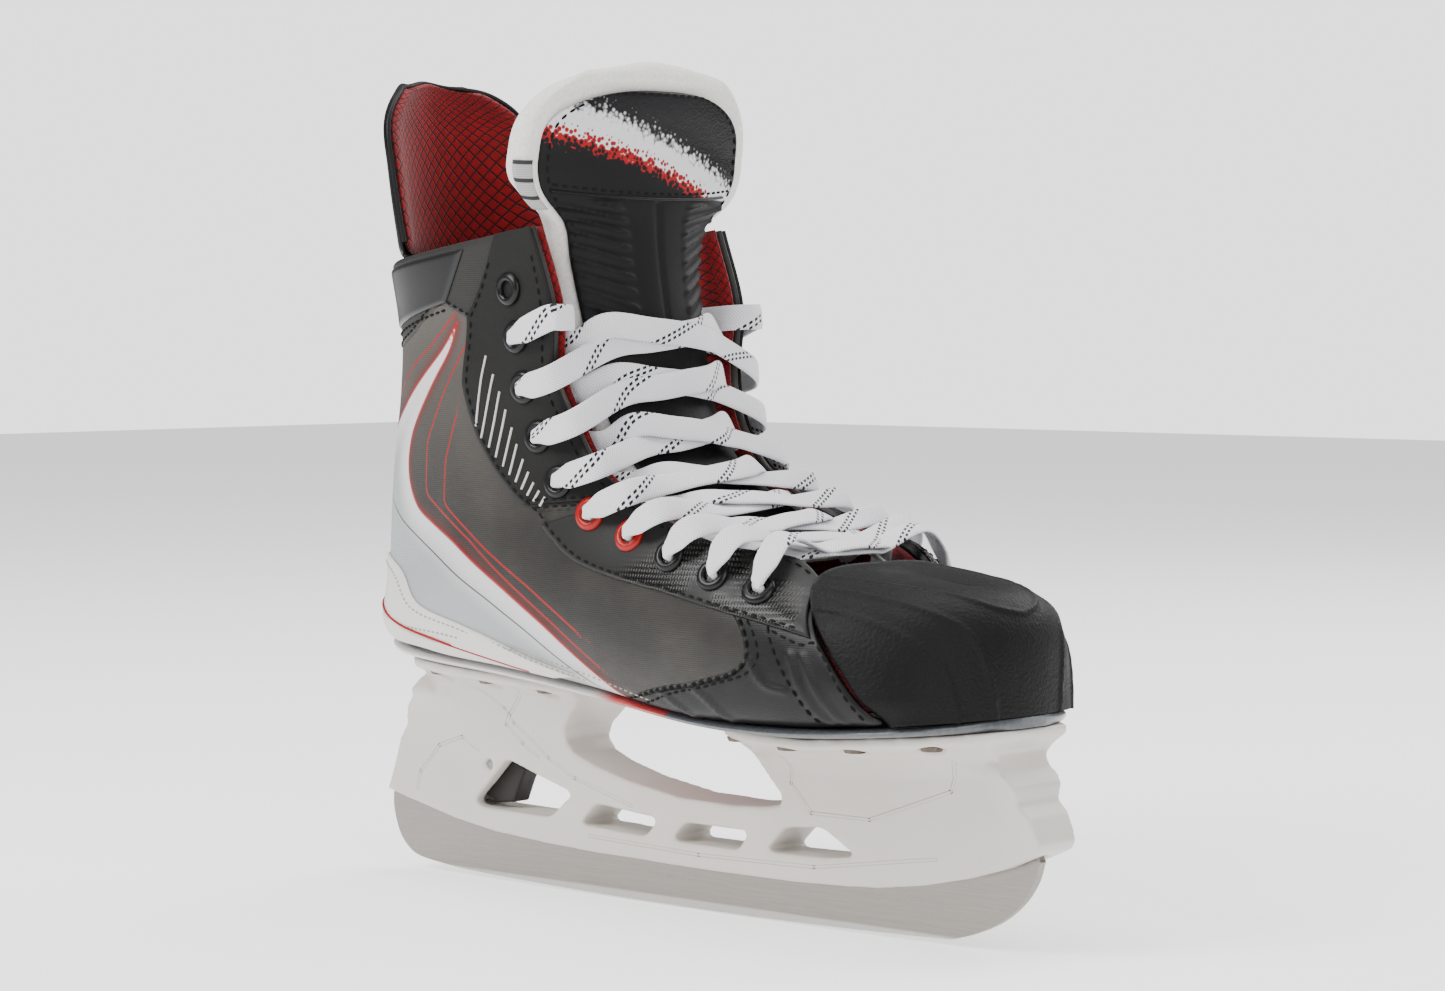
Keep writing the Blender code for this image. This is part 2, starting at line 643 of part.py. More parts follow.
FACING_LOW = (0.88, 0.73, 0.72, 0.75, 0.80, 0.83, 0.84, 0.83, 0.83, 0.83, 0.82, 0.80, 0.79)
WRAP_LOW = ((5.9, 0.0), (6.05, 0.2), (6.75, 0.37), (7.9, 0.405), (8.6, 0.42))
WRAP_HIGH = ((4.5, 0.0), (4.75, 0.25), (5.4, 0.46), (7.0, 0.56), (8.8, 0.45))
PATCH_HIGH = ((0.12, 0.0), (0.1, 0.35), (0.1, 0.76))
PATCH_LOW = ((1.0, 0.0), (0.95, 0.35), (0.75, 0.66))
PAD_CENTRE = (2.6, 0.53)
PAD_RADII = (1.55, 0.2)


def bottom_edge(s):
    """Lowest t of the quarters: the heel's middle line, then the sole's corner."""
    return float(np.interp(s, (5.6, 7.0, 8.0), (0.0, 0.34, 0.35)))


def smooth(x):
    """Smooth step from 0 to 1."""
    x = min(max(x, 0.0), 1.0)
    return x * x * (3 - 2 * x)


def pad_swell(s, t):
    """Height of the ankle pad under the lining."""
    reach = ((s - PAD_CENTRE[0]) / PAD_RADII[0]) ** 2 + ((t - PAD_CENTRE[1]) / PAD_RADII[1]) ** 2
    if reach < 1:
        return 0.7 + PAD_HEIGHT * (1 - reach) ** 2 + LAYER_GAP
    return (0.7 + LAYER_GAP) * (1 - smooth((reach ** 0.5 - 1) / 0.4))


def build_side(side, name):
    """Quarter, lining, ankle pad and facing of one side."""
    def quarter_place(a, b):
        s = a * TOE_SEAM
        low = bottom_edge(s)
        return s, low + (1 - low) * b

    def liner_place(a, b):
        s = a * TOE_SEAM
        low = bottom_edge(s) * 1.35
        return s, low + (1 - low) * b

    def facing_place(a, b):
        s = a * (TOE_SEAM - 0.2)
        low = float(np.interp(s, range(TOE_SEAM + 1), FACING_LOW))
        return s, low + (1 - low) * b

    def pad_place(a, b):
        u = 0.97 * (2 * a - 1)
        return (PAD_CENTRE[0] + PAD_RADII[0] * u,
                PAD_CENTRE[1] + PAD_RADII[1] * (2 * b - 1) * (1 - u * u) ** 0.5)

    quarter = boot_layer(f"quarter_{name}", side, quarter_place, 0, SHELL, SHELL_GREY, (23, 8))
    base = SHELL + LAYER_GAP + 1.5 * GAP
    liner = boot_layer(f"liner_{name}", side, liner_place, lambda s, t: base + pad_swell(s, t),
                       lambda s, t: base + pad_swell(s, t) + LINER, RED_LINING, (19, 7))
    facing = boot_layer(f"facing_{name}", side, facing_place, -LAYER_GAP - FACING_THICK,
                        -LAYER_GAP, BLACK_SYNTHETIC, (23, 4))
    boot_layer(f"ankle_pad_{name}", side, pad_place, base,
               lambda s, t: base + max(pad_swell(s, t) - LAYER_GAP, 0.6), FOAM, (7, 5))
    for layer in (quarter, liner, facing):
        combine(layer, eyelet_cutters(side), "DIFFERENCE")


def across_back(low, high):
    """Place function for a strip that runs round the heel from one side to the other."""
    def place(a, b):
        q = 2 * a - 1
        lower = catmull(low, abs(q))
        upper = catmull(high, abs(q))
        s, t = lower + (upper - lower) * b
        return s, (t if q >= 0 else -t)
    return place


def build_overlays():
    """White heel wrap and dark collar patch, each one piece round the back."""
    boot_layer("heel_wrap", 1, across_back(WRAP_LOW, WRAP_HIGH), -LAYER_GAP - WRAP_THICK - 3 * GAP,
               -LAYER_GAP - 3 * GAP, HEEL_WHITE, (21, 4))
    boot_layer("collar_patch", 1, across_back(PATCH_LOW, PATCH_HIGH), -LAYER_GAP - WRAP_THICK,
               -LAYER_GAP, BLACK_SYNTHETIC, (15, 3))


TOE_FRONT = 141.0
TOE_HALF = 47.5
TOE_BASE = (116.6, 71.6)        # seam at the sole: x, z
TOE_TOP = (77.0, 118.5)         # seam on the middle line
TOE_RIDGE = (112.0, 113.0)      # where the top starts to fall
TOE_WALL = 2.6
TOE_SQUARE = 0.56
TOE_CLEAR = 1.3


def toe_point(a, b, inset):
    """Toe cap surface: a turns from the outer side round the front, b climbs to the ridge."""
    turn = pi * (a - 0.5)
    front, out = max(cos(turn), 0.0), sin(turn)
    rear_x = TOE_BASE[0] + TOE_CLEAR
    base_x = rear_x + (TOE_FRONT - inset - rear_x) * front ** 1.5
    rise = sin(b * pi / 2) ** TOE_SQUARE
    reach = max(cos(b * pi / 2), 0.0) ** TOE_SQUARE
    ridge_x = TOE_TOP[0] + TOE_CLEAR + (TOE_RIDGE[0] - TOE_TOP[0]) * front ** 1.2
    ridge_z = TOE_TOP[1] + (TOE_RIDGE[1] - TOE_TOP[1]) * front ** 1.2 - inset
    side = 1 - front ** 2
    x = base_x + (ridge_x - base_x) * (rise * side + (1 - reach) * (1 - side))
    base_z = TOE_BASE[1] + 0.3 + 2.2 * front
    bulge = 1 + 0.035 * sin(pi * b)
    return (x, (TOE_HALF - inset) * out * reach * bulge, base_z + (ridge_z - base_z) * rise)


def build_toe_cap():
    """Moulded toe cap."""
    grids = []
    for inset in (0, TOE_WALL):
        grids.append([[toe_point(a, b, inset) for b in np.linspace(0, 1, 7)]
                      for a in np.linspace(0, 1, 15)])
    return between_grids("toe_cap", grids[0], grids[1], TOE_BLACK, folded=True)


# ---------------------------------------------------------------- eyelets

@lru_cache(maxsize=None)
def eyelet_frames(side):
    """Name, place on the boot, outward direction and colour of each eyelet of a side."""
    name = "lateral" if side < 0 else "medial"
    found = []
    for i, (x, z) in enumerate(EYELETS, 1):
        s, t = boot_place(x, z)
        p = boot_offset(s, t, side, 0)
        n = boot_normal(s, t)
        normal = Vector((n[0], side * n[1], n[2])).normalized()
        material = EYELET_RED if i in RED_EYELETS else EYELET_BLACK
        found.append((f"eyelet_{name}_{i:02d}", Vector(p), normal, material, s))
    return found


def eyelet_cutters(side):
    """Cutters for the eyelet holes of one side."""
    found = []
    for _, p, n, _, _ in eyelet_frames(side):
        found.append(cylinder("eyelet_hole", p - n * HOLE_INSIDE, p + n * HOLE_OUTSIDE,
                              EYELET_HOLE / 2, 8, collection=CUTTERS))
    return found


def build_eyelets():
    """Flanged eyelets, ten a side, with an open bore."""
    bore = EYELET_BORE / 2
    barrel = EYELET_BARREL / 2
    flange = EYELET_OD / 2
    face = FACING_THICK + LAYER_GAP + 2 * GAP
    profile = [(bore, face + EYELET_PROUD), (flange - 0.6, face + EYELET_PROUD - 0.1),
               (flange, face), (barrel, face), (barrel, -EYELET_DEPTH), (bore, -EYELET_DEPTH)]
    for side in (-1, 1):
        for name, p, n, material, _ in eyelet_frames(side):
            turned(name, profile, p, n, material, sides=10)


# ---------------------------------------------------------------- tongue and tendon guard

TONGUE_SPLIT = 6               # row of TONGUE_LINE where the tongue flexes
TONGUE_COVER = 1.6
FELT_START = 0.8               # rows of TONGUE_LINE where the felt and its cover begin
COVER_START = 1.2
TONGUE_FELT = 7.0
COVER_SPREAD = 0.86             # the cover's share of the felt's width
COVER_SHORT = 0.7               # rows that the felt's top rim stands over the cover
WING_CURVE = 2.2


def tongue_grid(first, last, rows, spread=1.0):
    """Front surface of the tongue between two rows of its middle line."""
    grid = []
    for i in np.linspace(first, last, rows):
        x, z, half, fall = catmull(TONGUE_LINE, i / (len(TONGUE_LINE) - 1))
        row = []
        for v in np.linspace(-1, 1, 9):
            row.append((x - fall * (abs(v) * spread) ** WING_CURVE, half * v * spread, z))
        grid.append(row)
    return np.array(grid)


def build_tongue():
    """Tongue: felt behind and a moulded cover in front, in a lower and a flexing upper part."""
    pivot = (TONGUE_HINGE[0], 0, TONGUE_HINGE[1])
    seam = 0.02
    for part, first, last, rows, where in (
            ("lower", FELT_START, TONGUE_SPLIT - seam, 9, (MID_X, 0, 0)),
            ("upper", TONGUE_SPLIT + seam, len(TONGUE_LINE) - 1, 8, pivot)):
        cover_last = last if part == "lower" else last - COVER_SHORT
        cover = tongue_grid(max(first, COVER_START), cover_last, rows, COVER_SPREAD)
        felt = tongue_grid(first, last, rows)
        n = grid_normals(felt)
        if n[rows // 2, 4, 0] < 0:
            n = -n
        inner = felt - n * TONGUE_FELT
        between_grids(f"tongue_felt_{part}", felt, inner, FELT_WHITE, where)
        m = grid_normals(cover)
        if m[rows // 2, 4, 0] < 0:
            m = -m
        between_grids(f"tongue_cover_{part}", cover + m * (LAYER_GAP + TONGUE_COVER),
                      cover + m * LAYER_GAP,
                      BLACK_SYNTHETIC, where)


GUARD_ROWS = ((214.0, -125.5, 37.0, -101.5), (236.0, -127.5, 36.5, -107.0),
              (258.0, -129.5, 35.5, -111.5), (271.0, -130.5, 31.5, -116.0),
              (277.0, -131.0, 20.0, -124.5))
GUARD_SHELL = 2.0
GUARD_PAD = 3.0


def guard_grid():
    """Outer surface of the tendon guard: a curved plate that rises from the collar's back."""
    grid = []
    for u in np.linspace(0, 1, 6):
        z, middle, half, edge = catmull(GUARD_ROWS, u)
        row = []
        for v in np.linspace(-1, 1, 9):
            x = middle + (edge - middle) * abs(v) ** 1.9
            rise = 0.135 * (x - middle) * (1 - u) ** 2
            row.append((x, half * v, z + rise))
        grid.append(row)
    return np.array(grid)


def build_guard():
    """Tendon guard: a flexing plate behind and its lining in front."""
    pivot = (GUARD_HINGE[0], 0, GUARD_HINGE[1])
    grid = guard_grid()
    n = grid_normals(grid)
    if n[3, 4, 0] > 0:
        n = -n
    between_grids("tendon_guard", grid, grid - n * GUARD_SHELL, BLACK_SYNTHETIC, pivot)
    inner = grid - n * (GUARD_SHELL + GAP)
    inner[0, :, 2] += 0.4
    between_grids("tendon_guard_lining", inner, inner - n * GUARD_PAD, RED_LINING, pivot)


# ---------------------------------------------------------------- lace

def tongue_point(level, v):
    """Point on the tongue's front: level is a row of its middle line, v runs from -1 to 1."""
    x, z, half, fall = catmull(TONGUE_LINE, level / (len(TONGUE_LINE) - 1))
    return Vector((x - fall * abs(v) ** WING_CURVE, half * v, z))


def tongue_front(level, v):
    """Point and outward direction on the tongue's front."""
    e = 0.05
    up = tongue_point(level + e, v) - tongue_point(level - e, v)
    across = tongue_point(level, v + e) - tongue_point(level, v - e)
    return tongue_point(level, v), across.cross(up).normalized()


def tongue_level(x, z):
    """Row number of the tongue's middle line nearest to (x, z)."""
    best = (1e9, 0)
    last = len(TONGUE_LINE) - 1
    for i in np.linspace(0, last, 200):
        row = catmull(TONGUE_LINE, i / last)
        gap = (row[0] - x) ** 2 + (row[1] - z) ** 2
        if gap < best[0]:
            best = (gap, i)
    return best[1]


def crossing(start, end, side, lift):
    """Points of one strand: from inside eyelet start, over the tongue, into eyelet end."""
    _, p0, n0, _, s0 = eyelet_frames(side)[start]
    _, p1, n1, _, s1 = eyelet_frames(-side)[end]
    inside = SHELL + LINER + LAYER_GAP + LACE_BEHIND
    cover = FACING_THICK + LAYER_GAP
    points = [(p0 - n0 * inside, n0)]
    leave = Vector(boot_offset(s0 + 0.25 * (s1 - s0), 1, side, inside))
    points.append((leave, n0))
    for share, v in ((0.32, 0.7), (0.42, 0.35), (0.52, 0.0), (0.62, -0.35), (0.72, -0.7)):
        a = boot_offset(s0 + share * (s1 - s0), 1, 1, 0)
        level = tongue_level(a[0] + 12, a[2] + 8)
        q, n = tongue_front(level, v * side)
        rise = TONGUE_COVER + LAYER_GAP + 3.3 + lift * (1 - 0.5 * abs(v))
        points.append((q + n * rise, n))
    s_enter = s0 + 0.84 * (s1 - s0)
    rim = Vector(boot_offset(s_enter, 1, -side, 0))
    forward = (rim - Vector(boot_offset(s_enter, 0.93, -side, 0))).normalized()
    bend = rim + n1 * (cover + LACE_OVER_FACING) + forward * LACE_FORWARD
    points.append((bend, (n1 + forward).normalized()))
    points.append((p1 + n1 * (cover + 4.4) + forward * 2.4, n1))
    points.append((p1 + n1 * (cover + 2.4), n1))
    points.append((p1 - n1 * 1.5, n1))
    points.append((p1 - n1 * 5.6, n1))
    points.append((p1 - n1 * (inside - 0.4) - forward * 0.6, n1))
    return points


def lace_route():
    """Points, up directions and share of flatness along the whole lace."""
    first, second = [], []
    side = 1
    for level in range(1, 9):
        first += crossing(level, level + 1, side, LACE_LOW)[1 if level > 1 else 0:]
        second += crossing(level, level + 1, -side, LACE_HIGH)[1 if level > 1 else 0:]
        side = -side
    for strand, lead in ((first, 1), (second, -1)):
        strand[0:1] = []
        strand[0:0] = tucked_end(lead)
    bar = []
    near = 1 if first[-1][0].y > 0 else -1
    for v in (0.7, 0.0, -0.7):
        q, n = tongue_front(BAR_LEVEL, near * v)
        bar.append((q + n * (TONGUE_COVER + LAYER_GAP + 1.4), n))
    return first + bar + second[::-1]


def tucked_end(side):
    """Free end of the lace, tucked down between the tongue and the lining of a side."""
    _, p, n, _, s = eyelet_frames(side)[0]
    depth = SHELL + LINER + LAYER_GAP + 2.0
    points = []
    for t, down in ((0.80, 3.0), (0.90, 0.8)):
        q = Vector(boot_offset(s + 0.4 + 0.12 * down, t, side, depth))
        points.append((q, n))
    return points


def build_lace():
    """Flat lace, rounded where it passes an eyelet, as one loft along its route."""
    route = lace_route()
    centres = np.array([p for p, _ in route])
    ups = np.array([u for _, u in route])
    gaps = np.linalg.norm(np.diff(centres, axis=0), axis=1)
    keep = np.concatenate(([True], gaps > 0.6))
    centres, ups = centres[keep], ups[keep]
    count = len(centres)
    holes = []
    for side in (-1, 1):
        holes += [(p, n) for _, p, n, _, _ in eyelet_frames(side)]
    samples = np.linspace(0, 1, int(count * 1.1))
    bm = bmesh.new()
    rings = []
    path = [Vector(catmull(centres, u)) for u in samples]
    for i, u in enumerate(samples):
        centre = path[i]
        ahead = (path[min(i + 1, len(path) - 1)] - path[max(i - 1, 0)]).normalized()
        up = Vector(catmull(ups, u))
        up = (up - ahead * up.dot(ahead)).normalized()
        across = ahead.cross(up).normalized()
        near = min((centre - p).length for p, _ in holes)
        flat = smooth((near - 5.6) / 5.0)
        half = LACE_ROUND / 2 + (LACE_WIDTH - LACE_ROUND) / 2 * flat
        thick = LACE_ROUND / 2 + (LACE_THICK - LACE_ROUND) / 2 * flat
        ring = []
        for k in range(4):
            turn = 2 * pi * (k + 0.5) / 4
            ring.append(bm.verts.new(metres(centre + across * half * cos(turn) * 1.3
                                            + up * thick * sin(turn) * 1.3)))
        rings.append(ring)
    for a, b in zip(rings, rings[1:]):
        for i in range(4):
            j = (i + 1) % 4
            bm.faces.new((a[i], a[j], b[j], b[i]))
    bm.faces.new(reversed(rings[0]))
    bm.faces.new(rings[-1])
    return mesh_object("lace", bm, LACE_WHITE)


def build():
    """The whole skate."""
    build_runner()
    build_trigger()
    build_holder()
    build_rivets()
    build_sole()
    for side, name in ((-1, "lateral"), (1, "medial")):
        build_side(side, name)
    build_overlays()
    build_toe_cap()
    build_eyelets()
    build_tongue()
    build_guard()
    build_lace()
    for obj in CUTTERS.objects:
        obj.hide_render = True
        obj.display_type = "WIRE"


build()
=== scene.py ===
"""Looks of the ice hockey skate: skins, soft parts, lace, graphics and materials.

Sizes are millimetres about the blade's middle, as in the part's own source, and place() turns
them into the frame's metres.  +X points to the toe, +Y to the inner side and +Z up.  The boot's
side is a surface on which s counts the cross sections from the collar (0) to the toe seam (12)
and t runs from the back or the sole (0) to the edge of the facing (1).
"""

from math import cos, pi, radians, sin

import bmesh
import bpy
import numpy as np
from mathutils import Matrix, Vector


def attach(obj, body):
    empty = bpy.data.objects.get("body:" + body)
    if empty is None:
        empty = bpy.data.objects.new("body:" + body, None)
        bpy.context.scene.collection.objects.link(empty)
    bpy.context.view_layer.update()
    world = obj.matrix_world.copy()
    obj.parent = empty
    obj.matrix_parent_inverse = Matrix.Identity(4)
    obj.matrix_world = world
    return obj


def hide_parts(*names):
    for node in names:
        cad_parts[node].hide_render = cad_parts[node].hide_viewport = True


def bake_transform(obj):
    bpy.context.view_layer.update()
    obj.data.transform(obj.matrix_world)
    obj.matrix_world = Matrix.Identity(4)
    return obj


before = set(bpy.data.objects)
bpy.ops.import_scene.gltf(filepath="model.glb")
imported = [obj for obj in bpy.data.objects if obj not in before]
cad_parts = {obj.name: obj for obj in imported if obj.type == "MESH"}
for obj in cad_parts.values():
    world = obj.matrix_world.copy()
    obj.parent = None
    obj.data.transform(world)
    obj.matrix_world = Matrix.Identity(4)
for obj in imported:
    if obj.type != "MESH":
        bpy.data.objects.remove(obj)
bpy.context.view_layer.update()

MM = 0.001
MID_X = 2.6            # blade middle to the middle of the whole skate
OUTER, INNER = -1, 1   # the two sides of the skate

# ---------------------------------------------------------------- shape of the boot

SECTIONS = (
    ((-127, 212), (-29, 225), "shaft", (0, 16, 28, 37.0, 42.5, 45.5, 46.5)),
    ((-124, 190), (-20, 199), "shaft", (0, 16, 27, 36.0, 42.0, 45.0, 46.0)),
    ((-126, 168), (-20, 177), "shaft", (0, 15, 26, 35.5, 42.0, 45.0, 44.5)),
    ((-130, 147), (-14, 161), "shaft", (0, 15, 26, 35.0, 42.0, 44.5, 41.5)),
    ((-133, 124), (-4, 147), "shaft", (0, 15, 26, 35.0, 43.0, 45.5, 41.0)),
    ((-134, 104), (7, 140), "shaft", (0, 15, 27, 36.0, 44.0, 46.0, 40.5)),
    ((-126, 86), (17, 135), "heel", (0, 18, 29, 38.0, 45.0, 46.5, 40.5)),
    ((-96, 80.5), (27, 131), "waist", (0, 18, 31, 39.5, 45.5, 47.0, 41.0)),
    ((-55, 78.5), (38, 127.5), "sole", (0, 20, 33, 40.5, 46.5, 48.0, 42.0)),
    ((-10, 74.2), (50, 124.5), "sole", (0, 22, 36, 43.0, 48.5, 48.5, 41.0)),
    ((35, 68.7), (62, 122.5), "sole", (0, 25, 40, 46.5, 50.5, 48.5, 36.0)),
    ((78, 68.5), (72, 120.0), "sole", (0, 26, 41, 47.5, 50.0, 46.5, 30.0)),
    ((116, 71.6), (80, 113.5), "sole", (0, 26, 41, 46.5, 48.5, 44.5, 29.0)),
)
FRACTIONS = {
    "shaft": (0, 0.035, 0.12, 0.27, 0.50, 0.76, 1),
    "heel": (0, 0.02, 0.07, 0.20, 0.45, 0.74, 1),
    "waist": (0, 0.0, 0.03, 0.15, 0.40, 0.72, 1),
    "sole": (0, 0.0, 0.015, 0.11, 0.36, 0.70, 1),
}
TOE_SEAM = len(SECTIONS) - 1
BOOT_MIDDLE = np.array((-40.0, 0.0, 120.0))
SHELL = 2.8
LINING_DEPTH = 4.0     # from the boot's surface to the face of its lining
LINING_SHORT = 1.35    # how much higher the lining starts over the sole

EYELETS = ((-38.9, 204.6), (-35.8, 189.0), (-33.2, 172.7), (-27.8, 156.5), (-18.3, 142.0),
           (-4.3, 132.0), (13.4, 125.6), (32.0, 120.0), (50.0, 114.6), (67.5, 110.4))
RED_EYELETS = (5, 6)   # counted from 0 at the collar
EYELET_RADIUS = 5.5
BORE_RADIUS = 2.7


def catmull(rows, u):
    """Points on smooth curves through rows of numbers, at places u from 0 to 1."""
    rows = np.asarray(rows, float)
    u = np.atleast_1d(np.asarray(u, float))
    if rows.ndim == 2:
        rows = np.broadcast_to(rows, (len(u), *rows.shape))
    last = rows.shape[1] - 1
    spot = np.clip(u, 0, 1) * last
    i = np.minimum(spot.astype(int), last - 1)
    f = (spot - i)[:, None]
    k = np.arange(len(u))
    p1, p2 = rows[k, i], rows[k, i + 1]
    p0 = np.where((i > 0)[:, None], rows[k, np.maximum(i - 1, 0)], 2 * p1 - p2)
    p3 = np.where((i + 2 <= last)[:, None], rows[k, np.minimum(i + 2, last)], 2 * p2 - p1)
    return 0.5 * (2 * p1 + (p2 - p0) * f + (2 * p0 - 5 * p1 + 4 * p2 - p3) * f ** 2
                  + (3 * p1 - p0 - 3 * p2 + p3) * f ** 3)


def section_rows():
    """Every cross section as rows of (x, half width, z)."""
    return np.asarray([[(x0 + part * (x1 - x0), width, z0 + part * (z1 - z0))
                        for part, width in zip(FRACTIONS[kind], widths)]
                       for (x0, z0), (x1, z1), kind, widths in SECTIONS], float)


ROWS = section_rows()


def surface(s, t):
    """Points of the boot's outer surface on the +Y half, for arrays s and t."""
    s, t = np.broadcast_arrays(np.asarray(s, float), np.asarray(t, float))
    shape = s.shape
    flat = catmull(ROWS.reshape(len(ROWS), -1), s.ravel() / TOE_SEAM)
    points = catmull(flat.reshape(s.size, -1, 3), t.ravel())
    points[:, 1] = np.maximum(points[:, 1], 0)
    return points.reshape(*shape, 3)


def outward(s, t):
    """Unit normals of that surface."""
    e = 0.01
    ds = surface(np.minimum(s + e, TOE_SEAM), t) - surface(np.maximum(s - e, 0), t)
    dt = surface(s, np.minimum(t + e, 1)) - surface(s, np.maximum(t - e, 0))
    n = np.cross(dt, ds)
    n /= np.maximum(np.linalg.norm(n, axis=-1, keepdims=True), 1e-9)
    turned = np.sum(n * (surface(s, t) - BOOT_MIDDLE), axis=-1, keepdims=True) < 0
    n = np.where(turned, -n, n)
    middle = np.asarray(t) < 0.02
    n[..., 1] = np.where(middle, 0, n[..., 1])
    return n / np.maximum(np.linalg.norm(n, axis=-1, keepdims=True), 1e-9)


def on_boot(s, t, side, height=0.0):
    """Points a height over the boot's surface; a negative t is on the other side."""
    s, t = np.broadcast_arrays(np.asarray(s, float), np.asarray(t, float))
    points = surface(s, np.abs(t)) + outward(s, np.abs(t)) * np.asarray(height)[..., None]
    points[..., 1] = np.maximum(points[..., 1], 0) * np.where(t < 0, -side, side)
    return points


def boot_direction(s, t, side):
    """Outward directions on the boot."""
    n = outward(np.asarray(s, float), np.abs(t))
    n[..., 1] *= np.where(np.asarray(t) < 0, -side, side)
    return n


def place(points):
    """Millimetres about the blade's middle to the frame's metres."""
    points = np.array(points, float)
    points[..., 0] -= MID_X
    return points * MM


def smooth(x):
    """Smooth step from 0 to 1."""
    x = np.clip(x, 0, 1)
    return x * x * (3 - 2 * x)


# ---------------------------------------------------------------- mesh tools

def linked(name, data):
    """New object in the scene."""
    obj = bpy.data.objects.new(name, data)
    bpy.context.scene.collection.objects.link(obj)
    return obj


def new_object(name, verts, faces, material, uvs=None, marks=None):
    """Mesh object from points in millimetres; uvs and marks give values for each point."""
    mesh = bpy.data.meshes.new(name)
    mesh.from_pydata(place(verts).tolist(), [], faces)
    if uvs is not None:
        layer = mesh.uv_layers.new(name="UVMap")
        corner = np.zeros(len(mesh.loops), int)
        mesh.loops.foreach_get("vertex_index", corner)
        layer.data.foreach_set("uv", np.asarray(uvs, float)[corner].ravel())
    for key, values in (marks or {}).items():
        store = mesh.attributes.new(key, "FLOAT", "POINT")
        store.data.foreach_set("value", np.asarray(values, float).ravel())
    mesh.materials.append(material)
    bm = bmesh.new()
    bm.from_mesh(mesh)
    bmesh.ops.remove_doubles(bm, verts=bm.verts, dist=0.005 * MM)
    bmesh.ops.recalc_face_normals(bm, faces=bm.faces)
    bm.to_mesh(mesh)
    bm.free()
    mesh.shade_smooth()
    mesh.set_sharp_from_angle(angle=radians(50))
    return linked(name, mesh)


def grid_faces(rows, columns, start=0, loop=False):
    """Quads of a grid of points; loop joins its last column to its first."""
    faces = []
    for i in range(rows - 1):
        for j in range(columns if loop else columns - 1):
            k = (j + 1) % columns
            a = start + i * columns
            faces.append((a + j, a + k, a + columns + k, a + columns + j))
    return faces


def closed_layer(name, outer, inner, material, folded=False, marks=None):
    """Closed solid between two grids of points; a folded one meets itself at its last column."""
    rows, columns = outer.shape[:2]
    count = rows * columns
    faces = grid_faces(rows, columns) + grid_faces(rows, columns, count)
    for j in (0,) if folded else (0, columns - 1):
        faces += [(i * columns + j, (i + 1) * columns + j, count + (i + 1) * columns + j,
                   count + i * columns + j) for i in range(rows - 1)]
    for i in (0, rows - 1):
        faces += [(i * columns + j, i * columns + j + 1, count + i * columns + j + 1,
                   count + i * columns + j) for j in range(columns - 1)]
    a, b = np.meshgrid(np.linspace(0, 1, rows), np.linspace(0, 1, columns), indexing="ij")
    uvs = np.stack((a, b), axis=-1).reshape(-1, 2)
    verts = np.concatenate((outer.reshape(-1, 3), inner.reshape(-1, 3)))
    both = {key: np.concatenate((v.ravel(), v.ravel())) for key, v in (marks or {}).items()}
    return new_object(name, verts, faces, material, np.concatenate((uvs, uvs)), both)


def spread(count, edge, ends=(True, True)):
    """Places from 0 to 1, packed more closely within edge of the ends."""
    packed = edge * np.array((0, 0.08, 0.25, 0.5, 0.75))
    inner = np.linspace(edge if ends[0] else 0, 1 - edge if ends[1] else 1, count)
    parts = [packed] if ends[0] else []
    parts.append(inner)
    if ends[1]:
        parts.append(1 - packed[::-1])
    return np.concatenate(parts)


def rounding(values, edge):
    """0 at the ends of 0 to 1, rising on a quarter circle to 1 within edge of them."""
    near = np.clip(np.minimum(values, 1 - values) / edge, 0, 1)
    return np.sqrt(1 - (1 - near) ** 2)


def rounded_faces(low, high, full, relief=0.0):
    """Heights of a layer's two faces, drawn together at its edges; relief raises the outer."""
    middle = (low + high) / 2
    return middle + (high - middle + relief) * full, middle + (low - middle) * full


def patch_grid(counts, edges):
    """Places a, b over a layer, packed at its edges, and how full the layer is there."""
    a, b = np.meshgrid(spread(counts[0], edges[0]), spread(counts[1], edges[1]), indexing="ij")
    return a, b, np.minimum(rounding(a, edges[0]), rounding(b, edges[1]))


def skin(name, side, where, low, high, material, counts, edges, relief=None, puff=None,
         marks=None):
    """Rounded solid on the boot between two heights over its surface; where gives (s, t).

    relief raises its outer face and puff thickens it inwards, in millimetres.
    """
    a, b, full = patch_grid(counts, edges)
    s, t = where(a, b)
    raised = relief(s, np.abs(t), side) if relief else 0.0
    top, under = rounded_faces(low, high, full, raised)
    if puff is not None:
        under = under - puff(s, np.abs(t)) * full
    found = None if marks is None else marks(s, np.abs(t))
    return closed_layer(name, on_boot(s, t, side, top), on_boot(s, t, side, under), material,
                        marks=found)


def sweep(points, radius, name, material):
    """Thin round cord along points in millimetres, for seams and piping."""
    curve = bpy.data.curves.new(name, "CURVE")
    curve.dimensions = "3D"
    curve.bevel_depth = radius * MM
    curve.bevel_resolution = 3
    curve.use_fill_caps = True
    spline = curve.splines.new("NURBS")
    spline.points.add(len(points) - 1)
    for point, co in zip(spline.points, place(points)):
        point.co = (*co, 1)
    spline.order_u = 3
    spline.use_endpoint_u = True
    curve.materials.append(material)
    return as_mesh(linked(name, curve))


def as_mesh(obj):
    """The same object with its modifiers or curve applied."""
    bpy.context.view_layer.update()
    graph = bpy.context.evaluated_depsgraph_get()
    mesh = bpy.data.meshes.new_from_object(obj.evaluated_get(graph))
    name = obj.name
    bpy.data.objects.remove(obj)
    mesh.shade_smooth()
    return linked(name, mesh)


